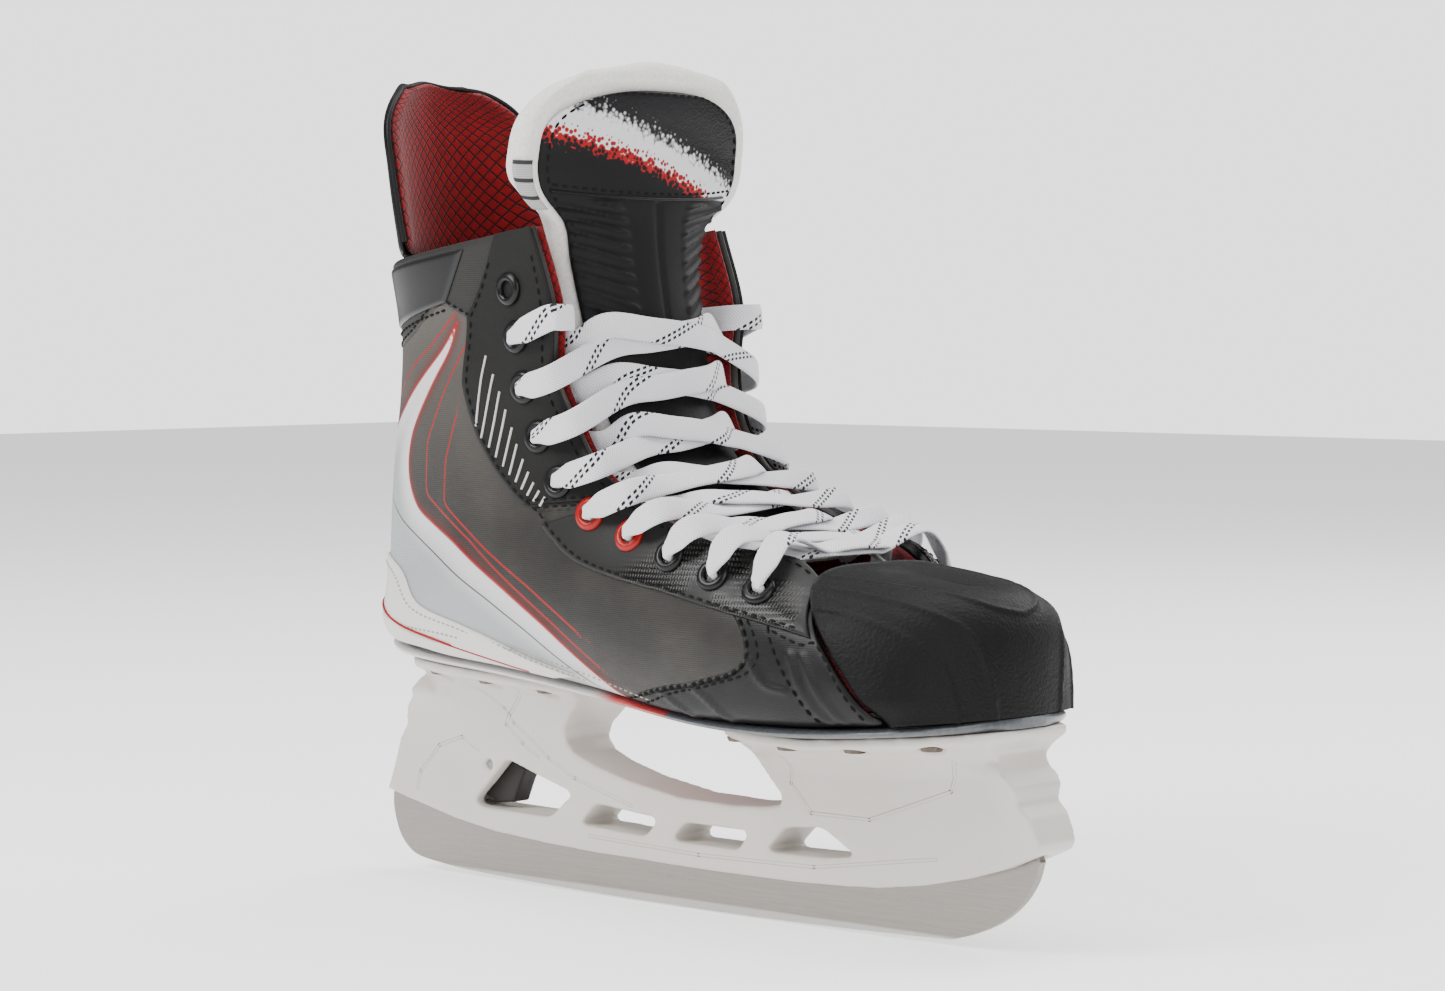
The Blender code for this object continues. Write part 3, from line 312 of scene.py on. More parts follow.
def stitches(name, points, normals, material, length=2.6, gap=1.1, radius=0.38):
    """Row of sewn threads along points: each is a short rounded bead that dips at its ends."""
    points = np.asarray(points, float)
    normals = np.asarray(normals, float)
    run = np.concatenate(([0], np.cumsum(np.linalg.norm(np.diff(points, axis=0), axis=1))))
    verts, faces = [], []
    rings, sides = (-1, -0.8, -0.35, 0.35, 0.8, 1), 6
    for start in np.arange(gap, run[-1] - length, length + gap):
        spots = [start + length * (0.5 + 0.5 * r) for r in rings]
        centres = np.stack([np.interp(spots, run, points[:, k]) for k in range(3)], axis=1)
        ups = np.stack([np.interp(spots, run, normals[:, k]) for k in range(3)], axis=1)
        ups /= np.linalg.norm(ups, axis=1, keepdims=True)
        along = centres[-1] - centres[0]
        across = np.cross(ups, along / max(np.linalg.norm(along), 1e-9))
        first = len(verts)
        for r, c, u, w in zip(rings, centres, ups, across):
            size = radius * (1 - r * r) ** 0.5 + 0.06
            lift = radius * (0.55 - 0.9 * r * r)
            for k in range(sides):
                turn = 2 * pi * k / sides
                verts.append(c + u * (lift + size * 0.8 * sin(turn)) + w * size * cos(turn))
        faces += grid_faces(len(rings), sides, first, loop=True)
        faces.append(tuple(range(first, first + sides)))
        faces.append(tuple(range(len(verts) - sides, len(verts))))
    return new_object(name, verts, faces, material)


def boot_line(nodes, side, height, count=120):
    """Smooth line of points and directions on the boot through (s, t) nodes."""
    st = catmull(nodes, np.linspace(0, 1, count))
    s, t = np.clip(st[:, 0], 0, TOE_SEAM), st[:, 1]
    return on_boot(s, t, side, height), boot_direction(s, t, side)


def join(name, objects):
    """One object from several."""
    bm = bmesh.new()
    materials = []
    for obj in objects:
        start = len(bm.faces)
        bm.from_mesh(obj.data)
        material = obj.data.materials[0]
        if material not in materials:
            materials.append(material)
        bm.faces.ensure_lookup_table()
        for face in bm.faces[start:]:
            face.material_index = materials.index(material)
        bpy.data.objects.remove(obj)
    mesh = bpy.data.meshes.new(name)
    bm.to_mesh(mesh)
    bm.free()
    for material in materials:
        mesh.materials.append(material)
    return linked(name, mesh)


# ---------------------------------------------------------------- materials

WAVE_UNIT = pi / 10     # a wave texture's scale for one band a metre
RED = (0.30, 0.006, 0.008)
LACE_REPEAT = 42.0      # millimetres between pairs of tracers


class Finish:
    """Procedural material, built up one node at a time."""

    def __init__(self, name, roughness=0.5, metallic=0.0, specular=0.5, sheen=0.0, coat=0.0):
        self.material = bpy.data.materials.new(name)
        self.material.use_nodes = True
        self.tree = self.material.node_tree
        self.shader = self.tree.nodes["Principled BSDF"]
        for socket, value in (("Roughness", roughness), ("Metallic", metallic),
                              ("Specular IOR Level", specular), ("Sheen Weight", sheen),
                              ("Coat Weight", coat), ("Coat Roughness", 0.25)):
            self.shader.inputs[socket].default_value = value
        self.height = None
        self.position = self.node("TexCoord").outputs["Object"]
        self.uv = self.tree.nodes[-1].outputs["UV"]

    def node(self, kind, **settings):
        """New node; settings are its own properties."""
        node = self.tree.nodes.new("ShaderNode" + kind)
        for key, value in settings.items():
            setattr(node, key, value)
        return node

    def feed(self, socket, value):
        """Set a socket to a value or link an output to it."""
        if isinstance(value, bpy.types.NodeSocket):
            self.tree.links.new(value, socket)
        elif isinstance(value, tuple) and len(value) == 3 and socket.type == "RGBA":
            socket.default_value = (*value, 1)
        else:
            socket.default_value = value

    def math(self, operation, a, b=0.0, c=0.0):
        """Math node's output."""
        node = self.node("Math", operation=operation)
        for socket, value in zip(node.inputs, (a, b, c)):
            self.feed(socket, value)
        return node.outputs[0]

    def step(self, value, low, high, first=0.0, last=1.0):
        """Smooth change from first to last as value goes from low to high."""
        node = self.node("MapRange", interpolation_type="SMOOTHSTEP")
        for socket, given in zip(node.inputs, (value, low, high, first, last)):
            self.feed(socket, given)
        return node.outputs[0]

    def mix(self, share, a, b):
        """Colour between a and b."""
        node = self.node("Mix", data_type="RGBA")
        self.feed(node.inputs[0], share)
        self.feed(node.inputs[6], a)
        self.feed(node.inputs[7], b)
        return node.outputs[2]

    def attribute(self, name):
        """A number stored on the mesh's points."""
        return self.node("Attribute", attribute_name=name).outputs["Fac"]

    def noise(self, scale, detail=3.0, rough=0.5, stretch=None):
        """Noise from 0 to 1; scale is in features a metre, stretch scales along each axis."""
        node = self.node("TexNoise")
        vector = self.position
        if stretch is not None:
            mapping = self.node("Mapping")
            self.feed(mapping.inputs["Vector"], vector)
            mapping.inputs["Scale"].default_value = stretch
            vector = mapping.outputs[0]
        self.feed(node.inputs["Vector"], vector)
        node.inputs["Scale"].default_value = scale
        node.inputs["Detail"].default_value = detail
        node.inputs["Roughness"].default_value = rough
        return node.outputs["Fac"]

    def cells(self, scale):
        """Distance in a cell pattern."""
        node = self.node("TexVoronoi")
        self.feed(node.inputs["Vector"], self.position)
        node.inputs["Scale"].default_value = scale
        return node.outputs["Distance"]

    def waves(self, scale, direction="X", distortion=0.0):
        """Bands from 0 to 1; scale is in bands a metre."""
        node = self.node("TexWave", bands_direction=direction)
        self.feed(node.inputs["Vector"], self.position)
        node.inputs["Scale"].default_value = scale * WAVE_UNIT
        node.inputs["Distortion"].default_value = distortion
        return node.outputs["Fac"]

    def split(self, vector):
        """The three parts of a vector."""
        node = self.node("SeparateXYZ")
        self.feed(node.inputs[0], vector)
        return node.outputs

    def line_relief(self, x, z, start, end):
        """1 on a straight line between two points in side view, 0 away from it."""
        (x0, z0), (x1, z1) = [((p[0] - MID_X) * MM, p[1] * MM) for p in (start, end)]
        dx, dz = x1 - x0, z1 - z0
        size = dx * dx + dz * dz
        away_x = self.math("SUBTRACT", x, x0)
        away_z = self.math("SUBTRACT", z, z0)
        h = self.math("MULTIPLY_ADD", away_x, dx / size, self.math("MULTIPLY", away_z, dz / size))
        h = self.math("MINIMUM", self.math("MAXIMUM", h, 0.0), 1.0)
        gap_x = self.math("MULTIPLY_ADD", h, -dx, away_x)
        gap_z = self.math("MULTIPLY_ADD", h, -dz, away_z)
        gap = self.math("ADD", self.math("MULTIPLY", gap_x, gap_x),
                        self.math("MULTIPLY", gap_z, gap_z))
        return self.step(self.math("SQRT", gap), 0.25 * MM, 0.75 * MM, 1.0, 0.0)

    def bump(self, height, millimetres):
        """Add a relief of so many millimetres."""
        node = self.node("Bump")
        node.inputs["Strength"].default_value = 1.0
        node.inputs["Distance"].default_value = millimetres * MM
        self.feed(node.inputs["Height"], height)
        if self.height is not None:
            self.feed(node.inputs["Normal"], self.height)
        self.height = node.outputs["Normal"]
        self.feed(self.shader.inputs["Normal"], self.height)

    def worn(self, colour, scale, shade, low, smoothest, roughest):
        """Finish in a colour that darkens to a shade of itself where it is least rough."""
        wear = self.noise(scale, 4.0, 0.6)
        dark = tuple(c * shade for c in colour)
        return self.finish(self.mix(wear, dark, colour),
                           self.step(wear, low, 1 - low, smoothest, roughest))

    def finish(self, colour, roughness=None):
        """Set the colour, and give back the material."""
        self.feed(self.shader.inputs["Base Color"], colour)
        if roughness is not None:
            self.feed(self.shader.inputs["Roughness"], roughness)
        return self.material


def moulded(name, colour, roughness=0.45, grain=0.03, scale=1400, coat=0.0,
            specular=0.16):
    """Moulded plastic: fine grain, slight mottling and wear in its roughness."""
    m = Finish(name, roughness, coat=coat, specular=specular)
    m.bump(m.noise(scale, 2.0), grain)
    return m.worn(colour, 60, 0.85, 0.2, roughness - 0.06, roughness + 0.08)


def leather(name, colour, roughness=0.5, scale=900, depth=0.06, sheen=0.0):
    """Synthetic leather: creased cells and soft mottling."""
    m = Finish(name, roughness, sheen=sheen, specular=0.12)
    m.bump(m.cells(scale), depth)
    m.bump(m.noise(220, 3.0), 0.12)
    return m.worn(colour, 45, 0.78, 0.25, roughness - 0.07, roughness + 0.08)


def felt(name, colour):
    """Pressed felt: short tangled fibres with a few darker specks."""
    m = Finish(name, 0.95, sheen=0.35, specular=0.15)
    m.bump(m.noise(2600, 5.0, 0.7), 0.16)
    m.bump(m.noise(160, 3.0), 0.5)
    fibres = m.noise(900, 6.0, 0.75)
    specks = m.step(m.cells(260), 0.02, 0.07)
    dark = tuple(c * 0.80 for c in colour)
    base = m.mix(m.step(fibres, 0.3, 0.7), dark, colour)
    return m.finish(m.mix(specks, tuple(c * 0.55 for c in colour), base))


def lining_fabric(name, length, width, cell=3.4):
    """Deep red lining with a black diamond mesh over it, for a piece of that size."""
    m = Finish(name, 0.8, sheen=0.15, specular=0.15)
    u, v = m.split(m.uv)[:2]
    lines = []
    for share in (0.62, -0.62):
        slant = m.math("MULTIPLY", v, share * width / cell)
        slant = m.math("MULTIPLY_ADD", u, length / cell, slant)
        saw = m.math("PINGPONG", slant, 0.5)
        lines.append(m.step(saw, 0.03, 0.14))
    mesh = m.math("MINIMUM", *lines)
    m.bump(mesh, 0.25)
    m.bump(m.noise(2600, 3.0), 0.06)
    cloudy = m.mix(m.noise(110, 3.0), (0.13, 0.0015, 0.003), (0.27, 0.004, 0.006))
    return m.finish(m.mix(mesh, (0.035, 0.003, 0.005), cloudy))


def body_finish(name):
    """The quarter's printed skin: woven grey with painted light making it lighter towards the top,
    silver heel sweep, red lines, black forefoot.
    """
    m = Finish(name, 0.42, specular=0.2, coat=0.03)
    band, front = m.attribute("band"), m.attribute("front")
    collar, dark = m.attribute("collar"), m.math("ABSOLUTE", m.attribute("thin_line"))
    fine = m.waves(1500, "Z", distortion=0.4)
    weave = m.math("MULTIPLY", fine, m.noise(700, 2.0, 0.6, stretch=(0.25, 1, 1)))
    cloud = m.noise(26, 3.0)
    grey = m.mix(m.step(cloud, 0.3, 0.75), (0.024, 0.022, 0.020), (0.046, 0.043, 0.039))
    grey = m.mix(m.step(weave, 0.1, 0.6, 0.0, 0.5), grey, (0.014, 0.013, 0.012))
    # painted light: the grey is lighter towards the top, where more light falls
    lit = m.step(m.split(m.position)[2], 120 * MM, 205 * MM)
    grey = m.mix(lit, grey, (0.078, 0.072, 0.064))
    glow = m.step(band, 0.2, 4.5, 0.45, 0.0)
    grey = m.mix(glow, grey, (0.13, 0.006, 0.006))
    silver = m.mix(m.step(band, -14, -1.5), (0.34, 0.35, 0.36), (0.58, 0.58, 0.58))
    colour = m.mix(m.step(band, -0.35, 0.15), silver, grey)
    edge = m.step(m.math("ABSOLUTE", band), 0.25, 0.75, 0.85, 0.0)
    colour = m.mix(edge, colour, RED)
    for line in PINSTRIPES:
        off = m.math("ABSOLUTE", m.attribute(line))
        stripe = m.math("MULTIPLY", m.step(off, 0.2, 0.5, 0.95, 0.0), m.step(band, 0.6, 1.2))
        colour = m.mix(stripe, colour, (0.30, 0.010, 0.010))
    thin = m.math("MULTIPLY", m.step(dark, 0.18, 0.42, 0.9, 0.0), m.step(band, -1.4, -0.7, 1, 0))
    colour = m.mix(thin, colour, (0.035, 0.035, 0.037))
    smooth_grey = m.mix(cloud, (0.017, 0.0165, 0.016), (0.028, 0.027, 0.026))
    colour = m.mix(m.step(collar, -0.2, 0.2), colour, smooth_grey)
    black = m.mix(cloud, (0.004, 0.004, 0.0045), (0.009, 0.009, 0.0095))
    colour = m.mix(m.step(front, -0.3, 0.3), colour, black)
    m.bump(weave, 0.035)
    m.bump(m.cells(1000), 0.03)
    m.bump(m.step(m.math("ABSOLUTE", front), 0.2, 1.2), 0.5)
    m.bump(m.step(m.math("ABSOLUTE", collar), 0.2, 1.0), 0.4)
    rough = m.step(m.noise(80, 3.0), 0.2, 0.8, 0.34, 0.5)
    return m.finish(colour, rough)


def steel_finish():
    """Satin steel with fine lengthwise grinding and a brighter sharpened edge."""
    m = Finish("runner_steel", 0.32, metallic=1.0)
    lines = m.noise(900, 4.0, 0.7, stretch=(0.05, 1, 1.4))
    height = m.split(m.position)[2]
    ground = m.step(height, 2.2 * MM, 3.2 * MM, 1.0, 0.0)
    m.bump(lines, 0.012)
    base = m.mix(lines, (0.19, 0.175, 0.16), (0.36, 0.335, 0.31))
    return m.finish(m.mix(ground, base, (0.48, 0.46, 0.44)), m.step(lines, 0.2, 0.8, 0.24, 0.42))


def lace_finish():
    """Flat white weave, with painted shade in the grooves between its ribs, and pairs of dashed
    black tracers slanting across it.
    """
    m = Finish("lace_white", 0.85, sheen=0.2, specular=0.2)
    across, along = m.split(m.uv)[:2]
    rows = m.math("PINGPONG", m.math("MULTIPLY", along, 1 / 2.2), 0.5)
    chevron = m.math("MULTIPLY_ADD", m.math("ABSOLUTE", across), 0.9, along)
    ribs = m.math("PINGPONG", m.math("MULTIPLY", chevron, 1 / 1.1), 0.5)
    columns = m.math("PINGPONG", m.math("MULTIPLY", across, 1 / 0.9), 0.5)
    m.bump(m.math("MULTIPLY", ribs, columns), 0.35)
    m.bump(m.noise(3000, 3.0), 0.05)
    slant = m.math("MULTIPLY_ADD", across, 1.9, along)
    repeat = m.math("MODULO", m.math("ADD", slant, 4600.0), LACE_REPEAT)
    dashes = m.step(rows, 0.17, 0.24)
    pair = []
    for centre in (9.0, 12.4):
        off = m.math("ABSOLUTE", m.math("SUBTRACT", repeat, centre))
        pair.append(m.step(off, 0.85, 1.05, 1.0, 0.0))
    marks = m.math("MULTIPLY", m.math("MAXIMUM", *pair), dashes)
    # painted shade: the white weave is darker in the grooves between its ribs
    white = m.mix(m.math("MULTIPLY", ribs, 2.0), (0.52, 0.52, 0.55), (0.78, 0.78, 0.81))
    shade = m.noise(70, 3.0)
    white = m.mix(m.step(shade, 0.3, 0.7, 0.0, 0.25), white, (0.60, 0.60, 0.62))
    return m.finish(m.mix(marks, white, (0.010, 0.010, 0.012)))


# ---------------------------------------------------------------- printed lines of the quarter

# Lines drawn in side view, x and z
BAND_FRONT = ((-68, 193), (-72, 184), (-80, 176), (-91, 164), (-98, 156), (-101, 148),
              (-101, 140), (-95, 131), (-71, 121), (-48, 109), (-24, 95), (2, 77), (10, 71))
BAND_BACK = ((-68, 194), (-76, 185), (-93, 173), (-107, 163), (-118, 157), (-124, 153))
PINSTRIPES = {
    "pinstripe_a": ((-62, 188), (-76, 170), (-87, 153), (-88, 136), (-60, 121), (-38, 107),
                    (-18, 95), (0, 83)),
    "pinstripe_b": ((-69, 162), (-75, 148), (-76, 133), (-54, 120), (-30, 107), (-8, 94)),
    "pinstripe_c": ((-70, 196), (-85, 185), (-98, 178), (-112, 168)),
}
THIN_LINE = ((-127, 139), (-119, 133), (-107, 126), (-77, 114), (-53, 103), (-34, 93),
             (-18, 83), (-5, 76))
# Lines through (s, t) places on the boot's side
FRONT_SEAM = ((10.15, 0.86), (10.6, 0.78), (10.72, 0.71), (10.55, 0.65), (10.15, 0.60),
              (9.65, 0.52), (9.35, 0.36))
COLLAR_SEAM = ((1.35, 0.0), (1.3, 0.25), (1.15, 0.46), (0.92, 0.56), (0.75, 0.635),
               (0.85, 0.68), (1.05, 0.74))
STRAP_SEAMS = (((11.0, 0.84), (11.05, 0.78), (11.3, 0.61), (11.45, 0.40)),
               ((11.05, 0.79), (11.6, 0.765), (11.93, 0.77), (11.93, 0.6), (11.93, 0.40)))
STRAP_BARS = (((11.38, 0.73), (11.42, 0.6), (11.55, 0.42)),
              ((11.58, 0.73), (11.62, 0.6), (11.7, 0.42)))
FRONT_RIDGES = (((9.75, 0.53), (9.95, 0.46), (10.1, 0.37)), ((10.05, 0.59), (10.3, 0.52),
                (10.5, 0.38)), ((10.75, 0.70), (10.95, 0.62), (11.2, 0.60)))


def segments_from(points, line):
    """Distance from each point to a line of points, and the number of the nearest segment."""
    a, b = line[:-1], line[1:]
    ab = b - a
    size = np.maximum(np.sum(ab * ab, axis=1), 1e-9)
    distances, nearest_ones = [], []
    for chunk in np.array_split(points, max(1, len(points) // 4000)):
        ap = chunk[:, None, :] - a[None]
        h = np.clip(np.sum(ap * ab[None], axis=2) / size, 0, 1)
        gap = np.linalg.norm(ap - ab[None] * h[..., None], axis=2)
        k = np.argmin(gap, axis=1)
        distances.append(gap[np.arange(len(chunk)), k])
        nearest_ones.append(k)
    return np.concatenate(distances), np.concatenate(nearest_ones)


def on_side(x, z):
    """(s, t) of the boot's side at places in side view."""
    s_all, t_all = np.meshgrid(np.linspace(0, TOE_SEAM, 145), np.linspace(0.1, 1, 46))
    p = surface(s_all, t_all)
    k = [np.argmin(np.where(t_all > bottom_edge(s_all), (p[..., 0] - u) ** 2
                            + (p[..., 2] - v) ** 2, 1e9)) for u, v in zip(x, z)]
    s, t = s_all.ravel()[k], t_all.ravel()[k]
    e = 0.002
    for _ in range(5):
        here = surface(s, t)
        ds, dt = (surface(s + e, t) - here) / e, (surface(s, t - e) - here) / -e
        off_x, off_z = x - here[:, 0], z - here[:, 2]
        size = ds[:, 0] * dt[:, 2] - ds[:, 2] * dt[:, 0]
        size = np.where(np.abs(size) < 1, 1, size)
        s = np.clip(s + np.clip((off_x * dt[:, 2] - off_z * dt[:, 0]) / size, -0.2, 0.2), 0, 12)
        t = np.clip(t + np.clip((ds[:, 0] * off_z - ds[:, 2] * off_x) / size, -0.04, 0.04), 0, 1)
    return s, t


def side_line(corners, step=1.5, rounds=12):
    """(s, t) along a line drawn in side view, with its corners rounded."""
    corners = np.asarray(corners, float)
    run = np.concatenate(([0], np.cumsum(np.linalg.norm(np.diff(corners, axis=0), axis=1))))
    at = np.linspace(0, run[-1], int(run[-1] / step) + 2)
    line = np.stack([np.interp(at, run, corners[:, k]) for k in (0, 1)], axis=1)
    for _ in range(rounds):
        line[1:-1] = line[1:-1] / 2 + (line[:-2] + line[2:]) / 4
    return np.stack(on_side(line[:, 0], line[:, 1]), axis=1)


def node_line(nodes, count=60):
    """(s, t) along a smooth line through (s, t) nodes."""
    return catmull(nodes, np.linspace(0, 1, count))


def side_of(s, t, st):
    """Distance on the boot from (s, t) to a line of places, negative on the line's left."""
    line = surface(np.clip(st[:, 0], 0, TOE_SEAM), np.clip(st[:, 1], 0, 1))
    gap, k = segments_from(surface(s, t).reshape(-1, 3), line)
    run = st[k + 1] - st[k]
    sign = np.sign(run[:, 0] * (t.ravel() - st[k, 1]) - run[:, 1] * (s.ravel() - st[k, 0]))
    return (gap * np.where(sign == 0, 1, sign)).reshape(s.shape)


def printed_lines(s, t):
    """What the quarter's finish reads: distances in millimetres to its printed lines."""
    band = np.maximum(side_of(s, t, side_line(BAND_FRONT)),
                      -side_of(s, t, side_line(BAND_BACK)))
    found = {"band": band, "thin_line": side_of(s, t, side_line(THIN_LINE)),
             "front": side_of(s, t, node_line(FRONT_SEAM)),
             "collar": side_of(s, t, node_line(COLLAR_SEAM))}
    for name, nodes in PINSTRIPES.items():
        found[name] = side_of(s, t, side_line(nodes, rounds=3))
    return found


def bottom_edge(s):
    """Lowest t of the quarters: the heel's middle line, then the sole's corner."""
    return np.interp(s, (5.6, 7.0, 8.0), (0.0, 0.34, 0.35))


def ridge_relief(lines, width, height):
    """Relief of raised lines on the boot."""
    def relief(s, t, side):
        total = np.zeros(s.shape)
        for nodes in lines:
            gap = np.abs(side_of(s, t, node_line(nodes)))
            total = np.maximum(total, height * np.exp(-(gap / width) ** 2))
        return total
    return relief


# ---------------------------------------------------------------- boot

FACING_LOW = (0.88, 0.73, 0.72, 0.75, 0.80, 0.83, 0.84, 0.83, 0.83, 0.83, 0.82, 0.80, 0.79)
FACING_HIGH = 1.5
FACING_PARTS = ((0.0, 5.35), (5.35, 11.85))     # upper and front facing: s from and to
FACING_FLARE = 0.75    # how far the upper part's low edge falls short, in sections
WRAP_LOW = ((5.9, 0.0), (6.05, 0.2), (6.75, 0.37), (7.9, 0.405), (8.6, 0.42))
WRAP_HIGH = ((4.5, 0.0), (4.7, 0.3), (5.6, 0.51), (7.2, 0.57), (8.8, 0.47))
WRAP_FOLD = ((5.25, 0.0), (5.4, 0.22), (6.05, 0.43), (7.2, 0.48), (8.3, 0.43))
PATCH_HIGH = ((0.12, 0.0), (0.1, 0.35), (0.1, 0.76))
PATCH_LOW = ((1.0, 0.0), (0.95, 0.35), (0.75, 0.66))
PAD_CENTRE = (2.6, 0.53)
PAD_RADII = (1.55, 0.2)
VENTS = tuple(((s_top, t_top), (s_low + 0.05 * (s_top - 1.6), t_low + 0.025 - 0.007 * s_top))
              for s_top, t_top, s_low, t_low in (
    (1.60, 0.80, 2.80, 0.745), (1.9, 0.825, 3.02, 0.757), (2.2, 0.84, 3.2, 0.775),
    (2.55, 0.848, 3.38, 0.79), (2.92, 0.853, 3.55, 0.805), (3.25, 0.855, 3.72, 0.817),
    (3.55, 0.86, 3.88, 0.828), (3.82, 0.863, 4.07, 0.836), (4.08, 0.865, 4.26, 0.843),
    (4.33, 0.867, 4.46, 0.850), (4.56, 0.870, 4.65, 0.857)))
EYELET_PLACES = list(zip(*on_side(*np.array(EYELETS).T)))


def facing_low(s):
    """Lower edge of the facing."""
    return np.interp(s, range(TOE_SEAM + 1), FACING_LOW)


def build_quarters():
    """Printed skins, linings and facings with their seams, on both sides."""
    printed = body_finish("shell_print")
    lining = lining_fabric("red_lining", 330, 110)
    eyestay = leather("facing_black", (0.016, 0.0155, 0.015), 0.46, scale=1500, depth=0.03)
    woven = woven_gloss("facing_woven")
    thread = moulded("thread_black", (0.006, 0.006, 0.006), 0.8)
    vent = moulded("vent_silver", (0.55, 0.54, 0.52), 0.4)
    ridges = ridge_relief(FRONT_RIDGES + STRAP_BARS, 1.1, 0.7)

    def side_place(shorter=1.0):
        def found(a, b):
            s = a * TOE_SEAM
            low = bottom_edge(s) * shorter
            return s, low + (1 - low) * b
        return found

    def facing_place(first, last, flare=0.0):
        def found(a, b):
            s = first + (last - first) * a - flare * (1 - b) * a
            low = facing_low(s)
            return s, low + (1 - low) * b
        return found

    def pad_swell(s, t):
        reach = ((s - PAD_CENTRE[0]) / PAD_RADII[0]) ** 2
        reach = reach + ((t - PAD_CENTRE[1]) / PAD_RADII[1]) ** 2
        return 5.0 * np.clip(1 - reach, 0, 1) ** 2

    for side, name in ((OUTER, "lateral"), (INNER, "medial")):
        quarter = skin(f"quarter_skin_{name}", side, side_place(), -SHELL, 0.0, printed,
                       (230, 96), (0.006, 0.012), relief=ridges, marks=printed_lines)
        ride_for(quarter, "shell_grey", f"quarter_{name}")
        inside = skin(f"lining_{name}", side, side_place(LINING_SHORT), -LINING_DEPTH - 2.6,
                      -SHELL - 0.2, lining, (120, 48), (0.008, 0.03), puff=pad_swell)
        ride_for(inside, "red_lining", f"liner_{name}")
        parts = []
        for (first, last), flare in zip(FACING_PARTS, (FACING_FLARE, 0.0)):
            finish = eyestay if first == 0 else woven
            parts.append(skin("facing", side, facing_place(first, last, flare), -0.4,
                              FACING_HIGH, finish, (150, 22), (0.012, 0.06),
                              marks=lambda s, t: {"forward": s}))
        facing = join(f"facing_skin_{name}", parts)
        ride_for(facing, "facing_black", f"facing_{name}")
        sewn = facing_stitches(side, thread)
        ride_for(join(f"facing_stitches_{name}", sewn), "facing_black")
        slots = [sweep(boot_line(line, side, FACING_HIGH + 0.05, 12)[0], 0.42, "vent", vent)
                 for line in VENTS]
        ride_for(join(f"vents_{name}", slots), "facing_black")
        seams = [stitches("seam", *boot_line(line, side, high), thread)
                 for line, high in ((FRONT_SEAM, 0.05), (shifted(FRONT_SEAM, 0.16), 0.05),
                                    *((strap, 0.1) for strap in STRAP_SEAMS),
                                    (shifted(COLLAR_SEAM, -0.05), 0.05))]
        ride_for(join(f"quarter_stitches_{name}", seams), "shell_grey")


def shifted(nodes, along):
    """The same line moved along the sections."""
    return tuple((s + along, t) for s, t in nodes)


def facing_stitches(side, thread):
    """Rows of stitches round the facing's edges."""
    def row(s, share):
        low = facing_low(s)
        t = low + (1 - low) * share
        return stitches("row", on_boot(s, t, side, FACING_HIGH), boot_direction(s, t, side), thread)

    b = np.linspace(0.06, 0.9, 60)
    joint = FACING_PARTS[0][1] - FACING_FLARE * (1 - b)
    return ([row(np.linspace(0.3, 11.7, 260), share) for share in (0.07, 0.90)]
            + [row(joint + shift, b) for shift in (-0.16, 0.14)])


def across_back(low, high):
    """Places of a strip that runs round the heel from one side to the other."""
    def found(a, b):
        q = 2 * a - 1
        lower = catmull(low, np.abs(q).ravel())
        upper = catmull(high, np.abs(q).ravel())
        st = lower + (upper - lower) * b.reshape(-1, 1)
        s, t = st[:, 0].reshape(a.shape), st[:, 1].reshape(a.shape)
        t = np.maximum(t, 0)
        return s, np.where(q >= 0, t, -t - 1e-9)
    return found


def back_points(nodes, height, count=240):
    """Points and directions along a smooth line round the heel."""
    q = np.linspace(-1, 1, count)
    s, t = catmull(nodes, np.abs(q)).T
    t = np.where(q >= 0, 1, -1) * np.maximum(t, 1e-9)
    return on_boot(s, t, INNER, height), boot_direction(s, t, INNER)


def build_overlays():
    """White heel wrap with its fold and stitches, and the glossy patch of the collar."""
    white = leather("heel_white", (0.70, 0.685, 0.655), 0.5, scale=1300, depth=0.04, sheen=0.1)
    beige = moulded("thread_beige", (0.34, 0.30, 0.24), 0.8)
    red = moulded("piping_red", (0.32, 0.008, 0.010), 0.45)
    dark = moulded("collar_gloss", (0.008, 0.008, 0.009), 0.3, coat=0.4)
    thread = moulded("thread_patch", (0.006, 0.006, 0.006), 0.8)

    def fold(s, t, side):
        s_fold = np.interp(t, (0, 0.22, 0.43, 0.48), (5.25, 5.4, 6.05, 7.2))
        return 0.5 * smooth((s - s_fold) / 0.1 + 0.5)

    wrap = skin("heel_wrap_skin", INNER, across_back(WRAP_LOW, WRAP_HIGH), -0.3, 1.1, white,
                (260, 40), (0.008, 0.05), relief=fold)
    ride_for(wrap, "heel_white", "heel_wrap")
    line = np.asarray(WRAP_HIGH)
    rows = []
    for s_shift, t_shift in ((0.14, -0.012), (0.86, -0.03)):
        nodes = line + (s_shift, 0) + np.outer((0, 1, 1, 1, 0), (0, t_shift))
        rows.append(stitches("row", *back_points(nodes, 1.15), beige, length=1.5, gap=1.0,
                             radius=0.22))
    ride_for(join("heel_wrap_stitches", rows), "heel_white")
    points, _ = back_points(WRAP_FOLD, 1.45)
    ride_for(sweep(points[::4], 0.4, "heel_piping", red), "heel_white")
    patch = skin("collar_patch_skin", INNER, across_back(PATCH_LOW, PATCH_HIGH), -0.3, 0.9, dark,
                 (120, 24), (0.015, 0.08))
    ride_for(patch, "collar_black", "collar_patch")
    rows = [stitches("row", *back_points(np.asarray(PATCH_LOW) + (0.1, 0), 0.1), thread)]
    ride_for(join("collar_patch_stitches", rows), "collar_black")


